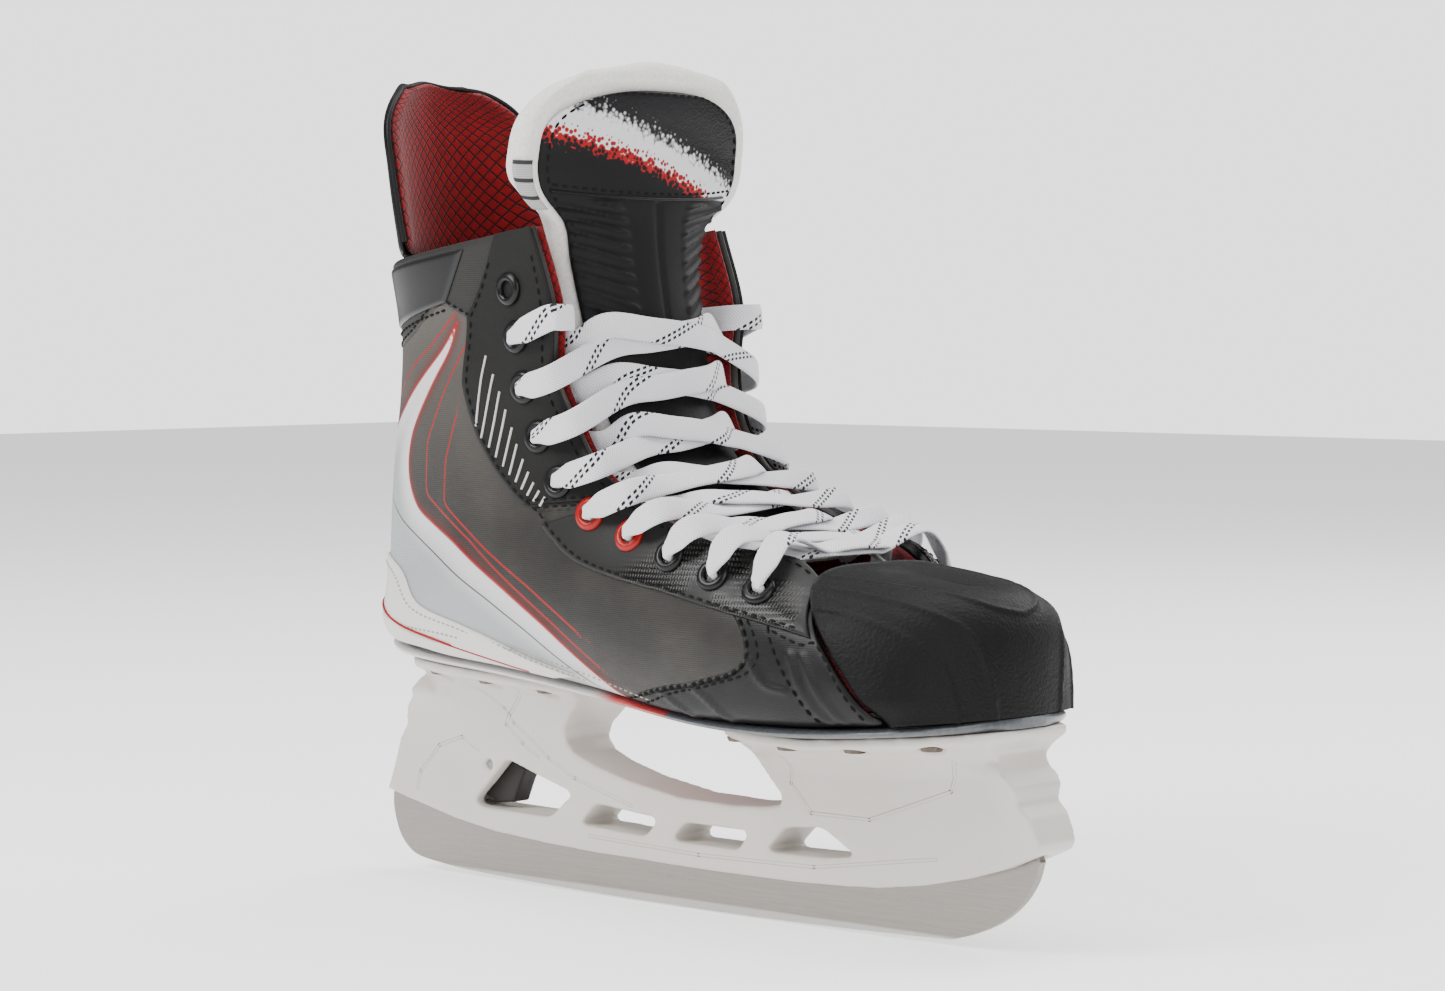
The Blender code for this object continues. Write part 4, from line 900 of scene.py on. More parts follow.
def woven_gloss(name):
    """Front facing: smooth synthetic at its rear, glossy woven patches round the last eyelets."""
    m = Finish(name, 0.4, coat=0.05, specular=0.2)
    forward = m.attribute("forward")
    warp = m.waves(900, "X", distortion=0.3)
    weft = m.waves(620, "Z", distortion=0.3)
    cloth = m.math("MULTIPLY", warp, weft)
    patch = m.step(m.noise(55, 2.0), 0.42, 0.55)
    shown = m.math("MULTIPLY", m.step(forward, 7.6, 8.4), patch)
    bright = m.mix(m.step(cloth, 0.15, 0.75), (0.004, 0.004, 0.004), (0.040, 0.037, 0.033))
    colour = m.mix(shown, (0.014, 0.0135, 0.013), bright)
    m.bump(m.math("MULTIPLY", cloth, shown), 0.12)
    m.bump(m.cells(1500), 0.03)
    return m.finish(colour, m.step(shown, 0, 1, 0.5, 0.22))


def ride_for(obj, slot, *nodes, body="boot"):
    """The piece rides on a body and stands for CAD nodes; slot is not used."""
    if nodes:
        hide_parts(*nodes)
    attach(obj, body)
    return obj


# ---------------------------------------------------------------- toe cap

TOE_FRONT, TOE_HALF = 141.0, 47.5
TOE_BASE, TOE_TOP, TOE_RIDGE = (116.6, 71.6), (77.0, 118.5), (112.0, 113.0)
TOE_SQUARE, TOE_CLEAR, TOE_WALL = 0.56, 1.3, 2.6
TOE_BULGE, TOE_TUCK = 0.035, 0.13     # shares of the half width: swell at mid height, tuck below
TOE_MIDDLE = np.array((88.0, 0.0, 88.0))
TOE_RELIEF, TOE_RELIEF_WIDTH = 0.75, 0.9
# Raised lines of the cap: (a, b) places, from the rear edge forward and down to the sole
TOE_LINES = (((0.0, 0.60), (0.10, 0.60), (0.22, 0.52), (0.33, 0.33), (0.39, 0.0)),
             ((0.0, 0.40), (0.08, 0.41), (0.17, 0.33), (0.26, 0.15), (0.29, 0.0)),
             ((0.0, 0.74), (0.16, 0.74), (0.30, 0.70), (0.42, 0.55), (0.5, 0.48)))


def toe_point(a, b, inset=0.0):
    """Toe cap: a turns from the outer side round the front, b climbs to the ridge."""
    turn = pi * (a - 0.5)
    front, out = np.maximum(np.cos(turn), 0), np.sin(turn)
    rear_x = TOE_BASE[0] + TOE_CLEAR
    base_x = rear_x + (TOE_FRONT - inset - rear_x) * front ** 1.5
    rise = np.sin(b * pi / 2) ** TOE_SQUARE
    reach = np.maximum(np.cos(b * pi / 2), 0) ** TOE_SQUARE
    ridge_x = TOE_TOP[0] + TOE_CLEAR + (TOE_RIDGE[0] - TOE_TOP[0]) * front ** 1.2
    ridge_z = TOE_TOP[1] + (TOE_RIDGE[1] - TOE_TOP[1]) * front ** 1.2 - inset
    side = (1 - front ** 2) ** 2.2
    x = base_x + (ridge_x - base_x) * (rise * side + (1 - reach) * (1 - side))
    base_z = TOE_BASE[1] + 0.3 + 2.2 * front
    bulge = 1 + TOE_BULGE * np.sin(pi * b) - TOE_TUCK * side * (1 - smooth(rise / 0.2))
    return np.stack((x, (TOE_HALF - inset) * out * reach * bulge,
                     base_z + (ridge_z - base_z) * rise), axis=-1)


def build_toe_cap():
    """Moulded cap with raised lines that sweep round it."""
    a = np.linspace(0, 1, 151)
    b = smooth(np.linspace(0, 1, 71) ** 0.9)
    a, b = np.meshgrid(a, b, indexing="ij")
    outer = toe_point(a, b)
    mirrored = np.minimum(a, 1 - a)
    flat = toe_point(mirrored, b).reshape(-1, 3)
    relief = np.zeros(a.size)
    for nodes in TOE_LINES:
        ab = catmull(nodes, np.linspace(0, 1, 70))
        line = toe_point(np.clip(ab[:, 0], 0, 0.5), np.clip(ab[:, 1], 0, 1))
        gap, _ = segments_from(flat, line)
        relief = np.maximum(relief, TOE_RELIEF * np.exp(-(gap / TOE_RELIEF_WIDTH) ** 2))
    out = outer - TOE_MIDDLE
    out /= np.linalg.norm(out, axis=-1, keepdims=True)
    outer = outer + out * (relief.reshape(a.shape) - 0.5)[..., None] * rounding(a, 0.004)[..., None]
    finish = moulded("toe_plastic", (0.0055, 0.0055, 0.006), 0.5, grain=0.35, scale=950,
                     specular=0.12)
    cap = closed_layer("toe_cap_skin", outer, toe_point(a, b, TOE_WALL), finish, folded=True)
    ride_for(cap, "toe_plastic", "toe_cap")


# ---------------------------------------------------------------- eyelets

def build_eyelets():
    """Rolled metal eyelets, each a ring with an open bore."""
    black = moulded("eyelet_black", (0.006, 0.006, 0.0065), 0.3, grain=0.01, coat=0.2)
    red = moulded("eyelet_red", (0.32, 0.006, 0.005), 0.3, grain=0.01, coat=0.3)
    inner, outer = BORE_RADIUS, EYELET_RADIUS
    profile = [(inner, -5.0), (inner, 0.9), (inner + 0.3, 1.45), (inner + 0.9, 1.7),
               (inner + 1.6, 1.62), (outer - 0.35, 1.15), (outer, 0.55), (outer - 0.05, 0.1),
               (inner + 0.7, 0.0), (inner + 0.7, -5.0)]
    sides = 40
    for side, label in ((OUTER, "lateral"), (INNER, "medial")):
        for number, (s, t) in enumerate(EYELET_PLACES):
            centre = on_boot([s], [t], side, FACING_HIGH)[0]
            axis = Vector(boot_direction(np.array([s]), np.array([t]), side)[0])
            u = axis.orthogonal().normalized()
            v = axis.cross(u)
            verts = []
            for k in range(sides):
                turn = 2 * pi * k / sides
                across = np.array(u * cos(turn) + v * sin(turn))
                verts += [centre + across * r + np.array(axis) * h for r, h in profile]
            faces = grid_faces(sides, len(profile), loop=True)
            last = (sides - 1) * len(profile)
            for j in range(len(profile)):
                k = (j + 1) % len(profile)
                faces.append((last + j, last + k, k, j))
            finish = red if number in RED_EYELETS else black
            name = f"eyelet_{label}_{number + 1:02d}"
            ring = new_object(f"{name}_ring", verts, faces, finish)
            ride_for(ring, "eyelet_red" if number in RED_EYELETS else "eyelet_black", name)


# ---------------------------------------------------------------- tongue and tendon guard

TONGUE_LINE = ((66, 116.5, 21, 3), (45, 122.5, 26, 4), (20, 133.5, 28, 6), (2, 147.5, 29, 10),
               (-8, 166.0, 30, 13), (-12, 186.0, 32, 15), (-15, 201.0, 33, 16),
               (-17, 214.0, 35, 16), (-18, 226.5, 39, 14), (-18, 238.0, 53, 13),
               (-17, 252.0, 55.5, 12), (-15, 266.0, 51, 10), (-14, 277.0, 32, 4))
TONGUE_END = len(TONGUE_LINE) - 1
WING_CURVE = 2.2
FELT_START, COVER_START, PANEL_START, PANEL_END = 0.8, 1.2, 8.75, 11.25
FELT_THICK, COVER_HIGH = 7.0, 2.0
FLEX_START, FLEX_END = 192.0, 214.0     # heights of the tongue's flex zone; no piece is bent there
FLEX_X = -16.0
TONGUE_HALF, TONGUE_ARCH, TONGUE_ARCH_HIGH = 55.0, 250, 30     # its rounded top: from and how high
CROWN_START, CROWN_RISE = 262, 2.2
RIM, RIM_START, RIM_SWELL = 0.78, 7.2, 2.6     # felt's swollen rim: across, from row, height
LABEL_ROW, LABEL_LONG, LABEL_OUT, LABEL_WIDE = 8.45, 1.15, 0.885, 0.10
STITCH_INSET = 0.055


def tongue_surface(level, v):
    """Front of the tongue's felt: level is a row of TONGUE_LINE, v runs from -1 to 1."""
    row = catmull(TONGUE_LINE, np.ravel(level) / TONGUE_END).reshape(*np.shape(level), 4)
    x = row[..., 0] - row[..., 3] * np.abs(v) ** WING_CURVE
    height = row[..., 1]
    top = smooth((height - TONGUE_ARCH + 10) / 12)
    risen = np.clip(height - TONGUE_ARCH, 0, None) / TONGUE_ARCH_HIGH
    arch = np.sqrt(np.clip(1 - risen ** 2.4, 0.05, 1))
    half = row[..., 2] * (1 - top) + TONGUE_HALF * arch * top
    crown = CROWN_RISE * smooth((height - CROWN_START) / 15) * (1 - np.abs(v) ** 2)
    return np.stack((x, half * v, height + crown), axis=-1)


def tongue_out(level, v):
    """Forward directions on the tongue."""
    e = 0.04
    up = tongue_surface(np.minimum(level + e, TONGUE_END), v)
    up = up - tongue_surface(np.maximum(level - e, 0), v)
    across = tongue_surface(level, v + e) - tongue_surface(level, v - e)
    n = np.cross(across, up)
    return n / np.maximum(np.linalg.norm(n, axis=-1, keepdims=True), 1e-9)


def on_tongue(level, v, height):
    """Points a height in front of the tongue's felt."""
    return tongue_surface(level, v) + tongue_out(level, v) * np.asarray(height)[..., None]


def tongue_layer(name, first, last, wide, low, high, material, counts, edges, relief):
    """Rounded solid on the tongue between two rows and heights."""
    a, b, full = patch_grid(counts, edges)
    level = first + (last - first) * a
    width = wide(level) if callable(wide) else wide
    v = (2 * b - 1) * width
    top, under = rounded_faces(low, high, full, relief(level, v))
    marks = {"level": level, "across": v}
    return closed_layer(name, on_tongue(level, v, top), on_tongue(level, v, under), material,
                        marks=marks)


def tongue_flexes(obj, slot, *nodes):
    """The piece stands for CAD nodes, which are hidden, and its transform is baked into its mesh.
    """
    if nodes:
        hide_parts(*nodes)
    start, end = place([(FLEX_X, 0, FLEX_START), (FLEX_X, 0, FLEX_END)]).tolist()
    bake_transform(obj)


def tongue_panel_finish(name):
    """Matte black vinyl below; above it a glossy panel, painted lighter towards its top as painted
    sheen, crossed by a white and red dotted sweep.
    """
    m = Finish(name, 0.5, specular=0.16)
    level, across = m.attribute("level"), m.attribute("across")
    vinyl = m.mix(m.noise(50, 3.0), (0.0035, 0.0035, 0.0035), (0.007, 0.007, 0.007))
    bend = m.math("MULTIPLY", m.math("ADD", across, 0.25), m.math("ADD", across, 0.25))
    course = m.math("SUBTRACT", level, m.math("MULTIPLY_ADD", across, -1.05, 9.72))
    course = m.math("MULTIPLY_ADD", bend, 0.28, course)
    dots = m.cells(620)
    ragged = m.math("MULTIPLY_ADD", dots, 0.55, course)
    on_panel = m.step(level, PANEL_START + 0.02, PANEL_START + 0.08)
    white = m.math("MULTIPLY", m.step(ragged, 0.10, 0.2), m.step(ragged, 0.62, 0.95, 1.0, 0.0))
    red = m.math("MULTIPLY", m.step(ragged, -0.10, 0.0), m.step(ragged, 0.10, 0.2, 1.0, 0.0))
    # painted sheen: the glossy panel's black is lighter towards its top
    gloss = m.mix(m.step(level, 9.5, 11.3), (0.005, 0.005, 0.0055), (0.011, 0.011, 0.012))
    colour = m.mix(m.math("MULTIPLY", on_panel, white), m.mix(on_panel, vinyl, gloss),
                   (0.62, 0.62, 0.63))
    colour = m.mix(m.math("MULTIPLY", on_panel, red), colour, RED)
    m.bump(m.cells(1300), 0.04)
    m.bump(m.noise(240, 3.0), 0.1)
    shiny = m.math("MULTIPLY", on_panel, m.step(course, -0.1, 0.1))
    return m.finish(colour, m.step(shiny, 0, 1, 0.55, 0.26))


def build_tongue():
    """Felt with a full rounded rim, its moulded cover, piping, stitches and side label."""
    white = felt("felt_white", (0.80, 0.785, 0.745))
    cover_finish = tongue_panel_finish("tongue_black")
    thread = moulded("thread_tongue", (0.006, 0.006, 0.006), 0.8)
    trim = moulded("piping_black", (0.008, 0.008, 0.008), 0.4)

    def crown(level, v):
        rim = smooth((np.abs(v) - RIM) / 0.15) + smooth((level - PANEL_END - 0.02) / 0.3)
        return RIM_SWELL * np.minimum(rim, 1) * smooth((level - RIM_START) / 1.6)

    def cover_relief(level, v):
        below = smooth((PANEL_START - 0.05 - level) / 0.1) * smooth((level - 5.0) / 0.6)
        slant = (level - 1.1 * np.abs(v)) * 2.6
        rib = 0.5 + 0.5 * np.cos(2 * pi * slant)
        sides = smooth((np.abs(v) - 0.30) / 0.08)
        middle = np.exp(-(v / 0.035) ** 2) * 0.7
        return below * (0.9 * rib ** 3 * sides - middle + 0.25 * sides)

    def cover_width(level):
        rise = np.clip((level - 9.9) / (PANEL_END - 9.9), 0, 1)
        return 0.85 * np.maximum(1 - rise ** 3, 0.01) ** 0.35

    felt_piece = tongue_layer("tongue_felt", FELT_START, TONGUE_END, 1.0, -FELT_THICK, 0.0, white,
                              (150, 56), (0.05, 0.055), relief=crown)
    tongue_flexes(felt_piece, "felt_white", "tongue_felt_lower", "tongue_felt_upper")
    cover = tongue_layer("tongue_cover", COVER_START, PANEL_END, cover_width, 0.0, COVER_HIGH,
                         cover_finish, (190, 80), (0.012, 0.02), relief=cover_relief)
    tongue_flexes(cover, "tongue_black", "tongue_cover_lower", "tongue_cover_upper")
    level = np.concatenate((np.linspace(7.0, PANEL_END - 0.1, 70),
                            np.full(50, PANEL_END - 0.07), np.linspace(PANEL_END - 0.1, 7.0, 70)))
    edge = cover_width(level) - STITCH_INSET
    v = np.concatenate((edge[:70], np.linspace(edge[70], -edge[70], 50), -edge[120:]))
    rows = [stitches("row", on_tongue(level, v, COVER_HIGH), tongue_out(level, v), thread)]
    v = np.linspace(-0.80, 0.80, 90)
    level = PANEL_START - 0.05 + 0.35 * v ** 2
    rows.append(stitches("row", on_tongue(level + 0.15, v, COVER_HIGH), tongue_out(level, v),
                         thread))
    rows.append(sweep(on_tongue(level, v, COVER_HIGH + 0.1)[::5], 0.55, "trim", trim))
    tongue_flexes(join("tongue_stitches", rows), "tongue_black")
    build_label()


def build_label():
    """Woven label on the tongue's outer edge, with plain bars."""
    m = Finish("label_woven", 0.8)
    across = m.attribute("level")
    bars = m.math("PINGPONG", m.math("MULTIPLY", m.math("SUBTRACT", across, 8.4), 2.6), 0.5)
    weave = m.waves(1400, "Z")
    grey = m.mix(weave, (0.30, 0.30, 0.30), (0.40, 0.40, 0.40))
    m.bump(weave, 0.05)
    finish = m.finish(m.mix(m.step(bars, 0.10, 0.14), (0.02, 0.02, 0.02), grey))
    a, b, full = patch_grid((30, 12), (0.05, 0.1))
    level = LABEL_ROW + LABEL_LONG * a
    v = -(LABEL_OUT + LABEL_WIDE * b)
    lift = RIM_SWELL * smooth((level - RIM_START) / 1.6) * smooth((np.abs(v) - RIM) / 0.15)
    lift = lift * np.sqrt(np.clip(1 - ((np.abs(v) - 0.89) / 0.11) ** 2, 0, 1))
    outer = on_tongue(level, v, lift + 0.25 + 0.35 * full)
    under = on_tongue(level, v, lift - 1.4)
    label = closed_layer("tongue_label", outer, under, finish, marks={"level": level})
    ride_for(label, "felt_white", body="tongue_top")


GUARD_ROWS = ((214.0, -125.5, 37.0, -101.5), (236.0, -127.5, 36.5, -107.0),
              (258.0, -129.5, 35.5, -111.5), (271.0, -130.5, 31.5, -116.0),
              (277.0, -131.0, 20.0, -124.5))
GUARD_HALF, GUARD_ARCH, GUARD_ARCH_HIGH = 36.5, 248, 30.5


def guard_surface(u, v):
    """Back of the tendon guard: u climbs from the collar, v runs across."""
    row = catmull(GUARD_ROWS, np.ravel(u)).reshape(*np.shape(u), 4)
    x = row[..., 1] + (row[..., 3] - row[..., 1]) * np.abs(v) ** 1.9
    rise = 0.135 * (x - row[..., 1]) * (1 - u) ** 2
    top = smooth((row[..., 0] - GUARD_ARCH + 4) / 12)
    risen = np.clip(row[..., 0] - GUARD_ARCH, 0, None) / GUARD_ARCH_HIGH
    arch = np.sqrt(np.clip(1 - risen ** 3, 0.03, 1))
    half = row[..., 2] * (1 - top) + GUARD_HALF * arch * top
    return np.stack((x, half * v, row[..., 0] + rise), axis=-1)


def guard_out(u, v):
    """Backward directions on the guard."""
    e = 0.01
    up = guard_surface(np.minimum(u + e, 1), v) - guard_surface(np.maximum(u - e, 0), v)
    across = guard_surface(u, v + e) - guard_surface(u, v - e)
    n = np.cross(up, across)
    n /= np.maximum(np.linalg.norm(n, axis=-1, keepdims=True), 1e-9)
    return np.where(n[..., :1] > 0, -n, n)


def guard_layer(name, low, high, material, counts, inset=0.0, relief=None, edge=0.05):
    """Rounded plate of the guard between two depths behind its surface."""
    a, b, full = patch_grid(counts, (edge, edge))
    u = inset + (1 - 2 * inset) * a
    v = (2 * b - 1) * (1 - inset)
    top, under = rounded_faces(low, high, full, relief(u, v) if relief else 0.0)
    points, n = guard_surface(u, v), guard_out(u, v)
    return closed_layer(name, points + n * top[..., None], points + n * under[..., None], material)


def build_guard():
    """Tendon guard: moulded plate with raised ribs, and its padded red lining."""
    black = leather("guard_black", (0.008, 0.008, 0.0085), 0.45)
    red = lining_fabric("guard_lining_red", 62, 84)
    trim = moulded("guard_trim", (0.008, 0.008, 0.008), 0.45)

    def ribs(u, v):
        across = np.exp(-((np.abs(v) - 0.45) / 0.05) ** 2)
        return 0.5 * across * smooth(u / 0.2) * smooth((0.92 - u) / 0.1)

    plate = guard_layer("tendon_guard_plate", -2.0, 0.0, black, (50, 60), relief=ribs)
    ride_for(plate, "collar_black", "tendon_guard", body="guard")
    pad = guard_layer("tendon_guard_pad", -5.6, -1.8, red, (46, 56), inset=0.015, edge=0.08)
    ride_for(pad, "red_lining", "tendon_guard_lining", body="guard")
    turn = np.concatenate((np.full(30, -1.0), np.linspace(-1, 1, 60), np.full(30, 1.0)))
    up = np.concatenate((np.linspace(0.04, 0.99, 30), np.full(60, 0.995),
                         np.linspace(0.99, 0.04, 30)))
    rim = guard_surface(up, turn * 0.995) + guard_out(up, turn * 0.995) * -1.9
    ride_for(sweep(rim[::2], 0.9, "tendon_guard_piping", trim), "collar_black", body="guard")


# ---------------------------------------------------------------- lace

LACE_WIDTH, LACE_THICK = 8.6, 1.5
BUNCH_WIDTH, BUNCH_THICK = 4.4, 2.4
LACE_INSIDE = 9.2      # how far behind the boot's surface the strands pass


def tongue_level(x, z):
    """Row of the tongue's middle line nearest to (x, z)."""
    levels = np.linspace(0, TONGUE_END, 400)
    rows = catmull(TONGUE_LINE, levels / TONGUE_END)
    return levels[np.argmin((rows[:, 0] - x) ** 2 + (rows[:, 1] - z) ** 2)]


def one(points):
    """First of an array of points, as a Vector."""
    return Vector(np.asarray(points).reshape(-1, 3)[0])


def boot_spot(s, t, side, height):
    """One point over the boot, as a Vector."""
    return one(on_boot([s], [t], side, height))


def boot_axis(s, t, side):
    """One outward direction, as a Vector."""
    return one(boot_direction(np.array([s]), np.array([t]), side))


def crossing(start, end, side, lift):
    """Points and directions of one strand, from inside eyelet start over to eyelet end."""
    (s0, t0), (s1, t1) = EYELET_PLACES[start], EYELET_PLACES[end]
    n0, n1 = boot_axis(s0, t0, side), boot_axis(s1, t1, -side)
    p0, p1 = boot_spot(s0, t0, side, 0), boot_spot(s1, t1, -side, 0)
    points = [(p0 - n0 * LACE_INSIDE, n0),
              (boot_spot(s0 + 0.25 * (s1 - s0), 1, side, -LACE_INSIDE), n0)]
    for share, v in ((0.32, 0.7), (0.42, 0.35), (0.52, 0.0), (0.62, -0.35), (0.72, -0.7)):
        a = boot_spot(s0 + share * (s1 - s0), 1, 1, 0)
        level, across = np.array([tongue_level(a.x + 12, a.z + 8)]), np.array([v * side])
        rise = 5.2 + lift * (1 - 0.5 * abs(v))
        points.append((one(on_tongue(level, across, [rise])), one(tongue_out(level, across))))
    s_enter = s0 + 0.84 * (s1 - s0)
    rim = boot_spot(s_enter, 1, -side, 0)
    forward = (rim - boot_spot(s_enter, 0.93, -side, 0)).normalized()
    points.append((rim + n1 * 5.6 + forward * 4.0, (n1 + forward).normalized()))
    for out, ahead in ((5.4, 2.6), (3.6, 0.5), (-1.5, 0.0), (-5.6, 0.0)):
        points.append((p1 + n1 * out + forward * ahead, n1))
    points.append((p1 - n1 * (LACE_INSIDE - 0.4) - forward * 0.6, n1))
    return points


def tucked_end(side):
    """Free end of the lace: from behind the facing, over its edge and into the second eyelet."""
    s, t = EYELET_PLACES[1]
    n, p = boot_axis(s, t, side), boot_spot(s, t, side, 0)
    s_edge = s - 0.2
    rim = boot_spot(s_edge, 1, side, 0)
    forward = (rim - boot_spot(s_edge, 0.93, side, 0)).normalized()
    return [(boot_spot(s_edge, 0.88, side, -8.6), -n), (rim - n * 8.0 - forward, -n),
            (rim - n * 3.0 + forward * 4.6, forward), (rim + n * 2.2 + forward * 5.0, forward),
            (rim + n * 5.0 + forward * 2.0, (n + forward).normalized()),
            (p + n * 5.4 + forward * 2.6, n), (p + n * 3.6 + forward * 0.5, n),
            (p - n * 1.5, n), (p - n * 5.6, n), (p - n * (LACE_INSIDE - 0.4), n)]


def lace_route():
    """Points and flat directions along the whole lace, from one free end to the other."""
    strands = []
    for side, lift in ((INNER, 0.3), (OUTER, 2.3)):
        strand = tucked_end(side)
        for level in range(1, 9):
            strand += crossing(level, level + 1, side, lift)[1:]
            side = -side
        strands.append(strand)
    first, second = strands
    near = 1 if first[-1][0].y > 0 else -1
    bar = []
    for v in (0.7, 0.0, -0.7):
        level, across = np.array([0.3]), np.array([near * v])
        bar.append((one(on_tongue(level, across, [3.8])), one(tongue_out(level, across))))
    return first + bar + second[::-1]


def build_lace():
    """Flat woven lace through every eyelet but the top pair."""
    route = lace_route()
    centres = np.array([p for p, _ in route])
    ups = np.array([u for _, u in route])
    keep = np.concatenate(([True], np.linalg.norm(np.diff(centres, axis=0), axis=1) > 0.6))
    centres, ups = centres[keep], ups[keep]
    samples = np.linspace(0, 1, len(centres) * 9)
    path, ups = catmull(centres, samples), catmull(ups, samples)
    for _ in range(6):
        path[1:-1] += 0.25 * (path[:-2] + path[2:] - 2 * path[1:-1])
        ups[1:-1] += 0.25 * (ups[:-2] + ups[2:] - 2 * ups[1:-1])
    along = np.gradient(path, axis=0)
    along /= np.linalg.norm(along, axis=1, keepdims=True)
    ups -= along * np.sum(ups * along, axis=1, keepdims=True)
    ups /= np.linalg.norm(ups, axis=1, keepdims=True)
    across = np.cross(along, ups)
    run = np.concatenate(([0], np.cumsum(np.linalg.norm(np.diff(path, axis=0), axis=1))))
    holes = np.array([boot_spot(s, t, side, 0.5) for s, t in EYELET_PLACES
                      for side in (OUTER, INNER)])
    near = np.min(np.linalg.norm(path[:, None] - holes[None], axis=2), axis=1)
    flat = smooth((near - 3.6) / 6.5)
    half = (BUNCH_WIDTH + (LACE_WIDTH - BUNCH_WIDTH) * flat) / 2
    thick = (BUNCH_THICK + (LACE_THICK - BUNCH_THICK) * flat) / 2
    ring = np.linspace(0, 2 * pi, 17)
    shape_x = np.sign(np.cos(ring)) * np.abs(np.cos(ring)) ** 0.55
    shape_y = np.sign(np.sin(ring)) * np.abs(np.sin(ring)) ** 0.8
    verts = (path[:, None] + across[:, None] * (half[:, None] * shape_x)[..., None]
             + ups[:, None] * (thick[:, None] * shape_y)[..., None])
    uvs = np.stack(np.broadcast_arrays(shape_x * LACE_WIDTH / 2, run[:, None]), axis=-1)
    faces = grid_faces(len(path), len(ring))
    faces += [tuple(range(len(ring) - 1)), tuple(range(verts.shape[0] * len(ring) - len(ring),
                                                       verts.shape[0] * len(ring) - 1))]
    lace = new_object("lace_woven", verts.reshape(-1, 3), faces, lace_finish(),
                      uvs.reshape(-1, 2))
    ride_for(lace, "lace_white", "lace")


# ---------------------------------------------------------------- sole, holder and steel

SOLE_LINE = ((-136, 83.0), (-122, 79.2), (-96, 77.3), (-55, 75.3), (-10, 71.0), (35, 65.5),
             (78, 65.3), (116, 68.4), (142, 70.5))
SOLE_HALF = ((-131, 13), (-126, 22), (-112, 29.5), (-90, 32.5), (-60, 34), (-25, 35.5), (10, 38),
             (45, 43), (80, 46.5), (110, 47), (122, 43), (131, 34), (137.5, 21), (140, 8))


# Raised guide lines on the holder's sides: x, z
HOLDER_LINES = (((-88, 71), (-76, 62), (-73, 57), (-58, 46), (-46, 40), (-20, 33)),
                ((-60, 71), (-74, 60), (-77, 56), (-70, 50), (-63, 46)),
                ((-124, 30), (-122, 36), (-112, 46), (-100, 50), (-92, 46)),
                ((58, 61), (53, 47), (60, 38), (84, 38), (118, 50), (124, 60)),
                ((-40, 21), (10, 19.5), (60, 20.5), (110, 28)))


def plate(name, inset, ends, low, high, material, crown=0.0):
    """Rounded plate that follows the sole, between two heights over its underside."""
    xs, zs = np.array(SOLE_LINE, float).T
    widths_x, widths = np.array(SOLE_HALF, float).T
    first, last = widths_x[0] + ends, widths_x[-1] - ends
    share = (1 - np.cos(np.linspace(0, pi, 120))) / 2
    x = first + (last - first) * share
    half = np.interp(x + 2 * ends * (share - 0.5), widths_x, widths) - inset
    half = np.convolve(np.pad(np.maximum(half, 2), 3, "edge"), np.ones(7) / 7, "valid")
    half = half * np.clip(np.sin(pi * share), 0, 1) ** 0.08
    z = np.interp(x, xs, zs)
    z = np.convolve(np.pad(z, 6, "edge"), np.ones(13) / 13, "valid")
    b = spread(30, 0.06)
    full = rounding(b, 0.06)[None, :]
    y = half[:, None] * (2 * b - 1)[None, :]
    middle = (low + high) / 2
    top = z[:, None] + middle + (high - middle) * full + crown * (1 - (2 * b - 1) ** 2)[None, :]
    under = z[:, None] + middle + (low - middle) * full
    grids = [np.stack(np.broadcast_arrays(x[:, None], y, h), axis=-1) for h in (top, under)]
    return closed_layer(name, *grids, material)


def outsole_finish():
    """Dark composite: fine weave with a painted silvery sheen, pale grey over the rear of its rim,
    and a short red mark.
    """
    m = Finish("sole_dark", 0.32, coat=0.4)
    x = m.split(m.position)[0]
    weave = m.cells(700)
    base = m.mix(weave, (0.030, 0.034, 0.040), (0.062, 0.068, 0.076))
    mark = m.math("MULTIPLY", m.step(x, -14 * MM, -12 * MM), m.step(x, 20 * MM, 24 * MM, 1, 0))
    # painted sheen: the plate's rear is pale grey to stand in for a silvery sheen on its rim
    white = m.step(x, -16 * MM, -2 * MM, 1.0, 0.0)
    colour = m.mix(mark, base, (0.38, 0.03, 0.03))
    m.bump(weave, 0.03)
    return m.finish(m.mix(white, colour, (0.50, 0.49, 0.47)))


def holder_finish():
    """Warm white nylon with a fine grain, faint raised guide lines and scuffs low down."""
    m = Finish("holder_white", 0.36, coat=0.08)
    x, _, z = m.split(m.position)
    cloud = m.noise(30, 4.0)
    base = m.mix(cloud, (0.50, 0.465, 0.425), (0.60, 0.565, 0.525))
    scuff = m.math("MULTIPLY", m.step(m.noise(420, 5.0, 0.7, stretch=(0.2, 1, 1)), 0.62, 0.72),
                   m.step(z, 14 * MM, 40 * MM, 0.35, 0.0))
    colour = m.mix(scuff, base, (0.40, 0.37, 0.34))
    m.bump(m.noise(1500, 2.0), 0.03)
    for line in HOLDER_LINES:
        for (x0, z0), (x1, z1) in zip(line, line[1:]):
            m.bump(m.line_relief(x, z, (x0, z0), (x1, z1)), 0.35)
    return m.finish(colour, m.step(cloud, 0.2, 0.8, 0.32, 0.46))


def smoothed_copy(name, node, material, voxel, rounds):
    """Copy of a CAD node with its edges rounded: remeshed finely and relaxed."""
    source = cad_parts[node]
    obj = linked(name, source.data.copy())
    obj.data.materials.clear()
    remesh = obj.modifiers.new("remesh", "REMESH")
    remesh.mode = "VOXEL"
    remesh.voxel_size = voxel * MM
    relax = obj.modifiers.new("relax", "SMOOTH")
    relax.factor = 0.6
    relax.iterations = rounds
    made = as_mesh(obj)
    made.data.materials.append(material)
    return made


ROCKER_FLAT, ROCKER_RADIUS, ROCKER_REACH = 6.0, 2750.0, 105
RUNNER_HALF, RUNNER_BEVEL = 1.5, 0.22
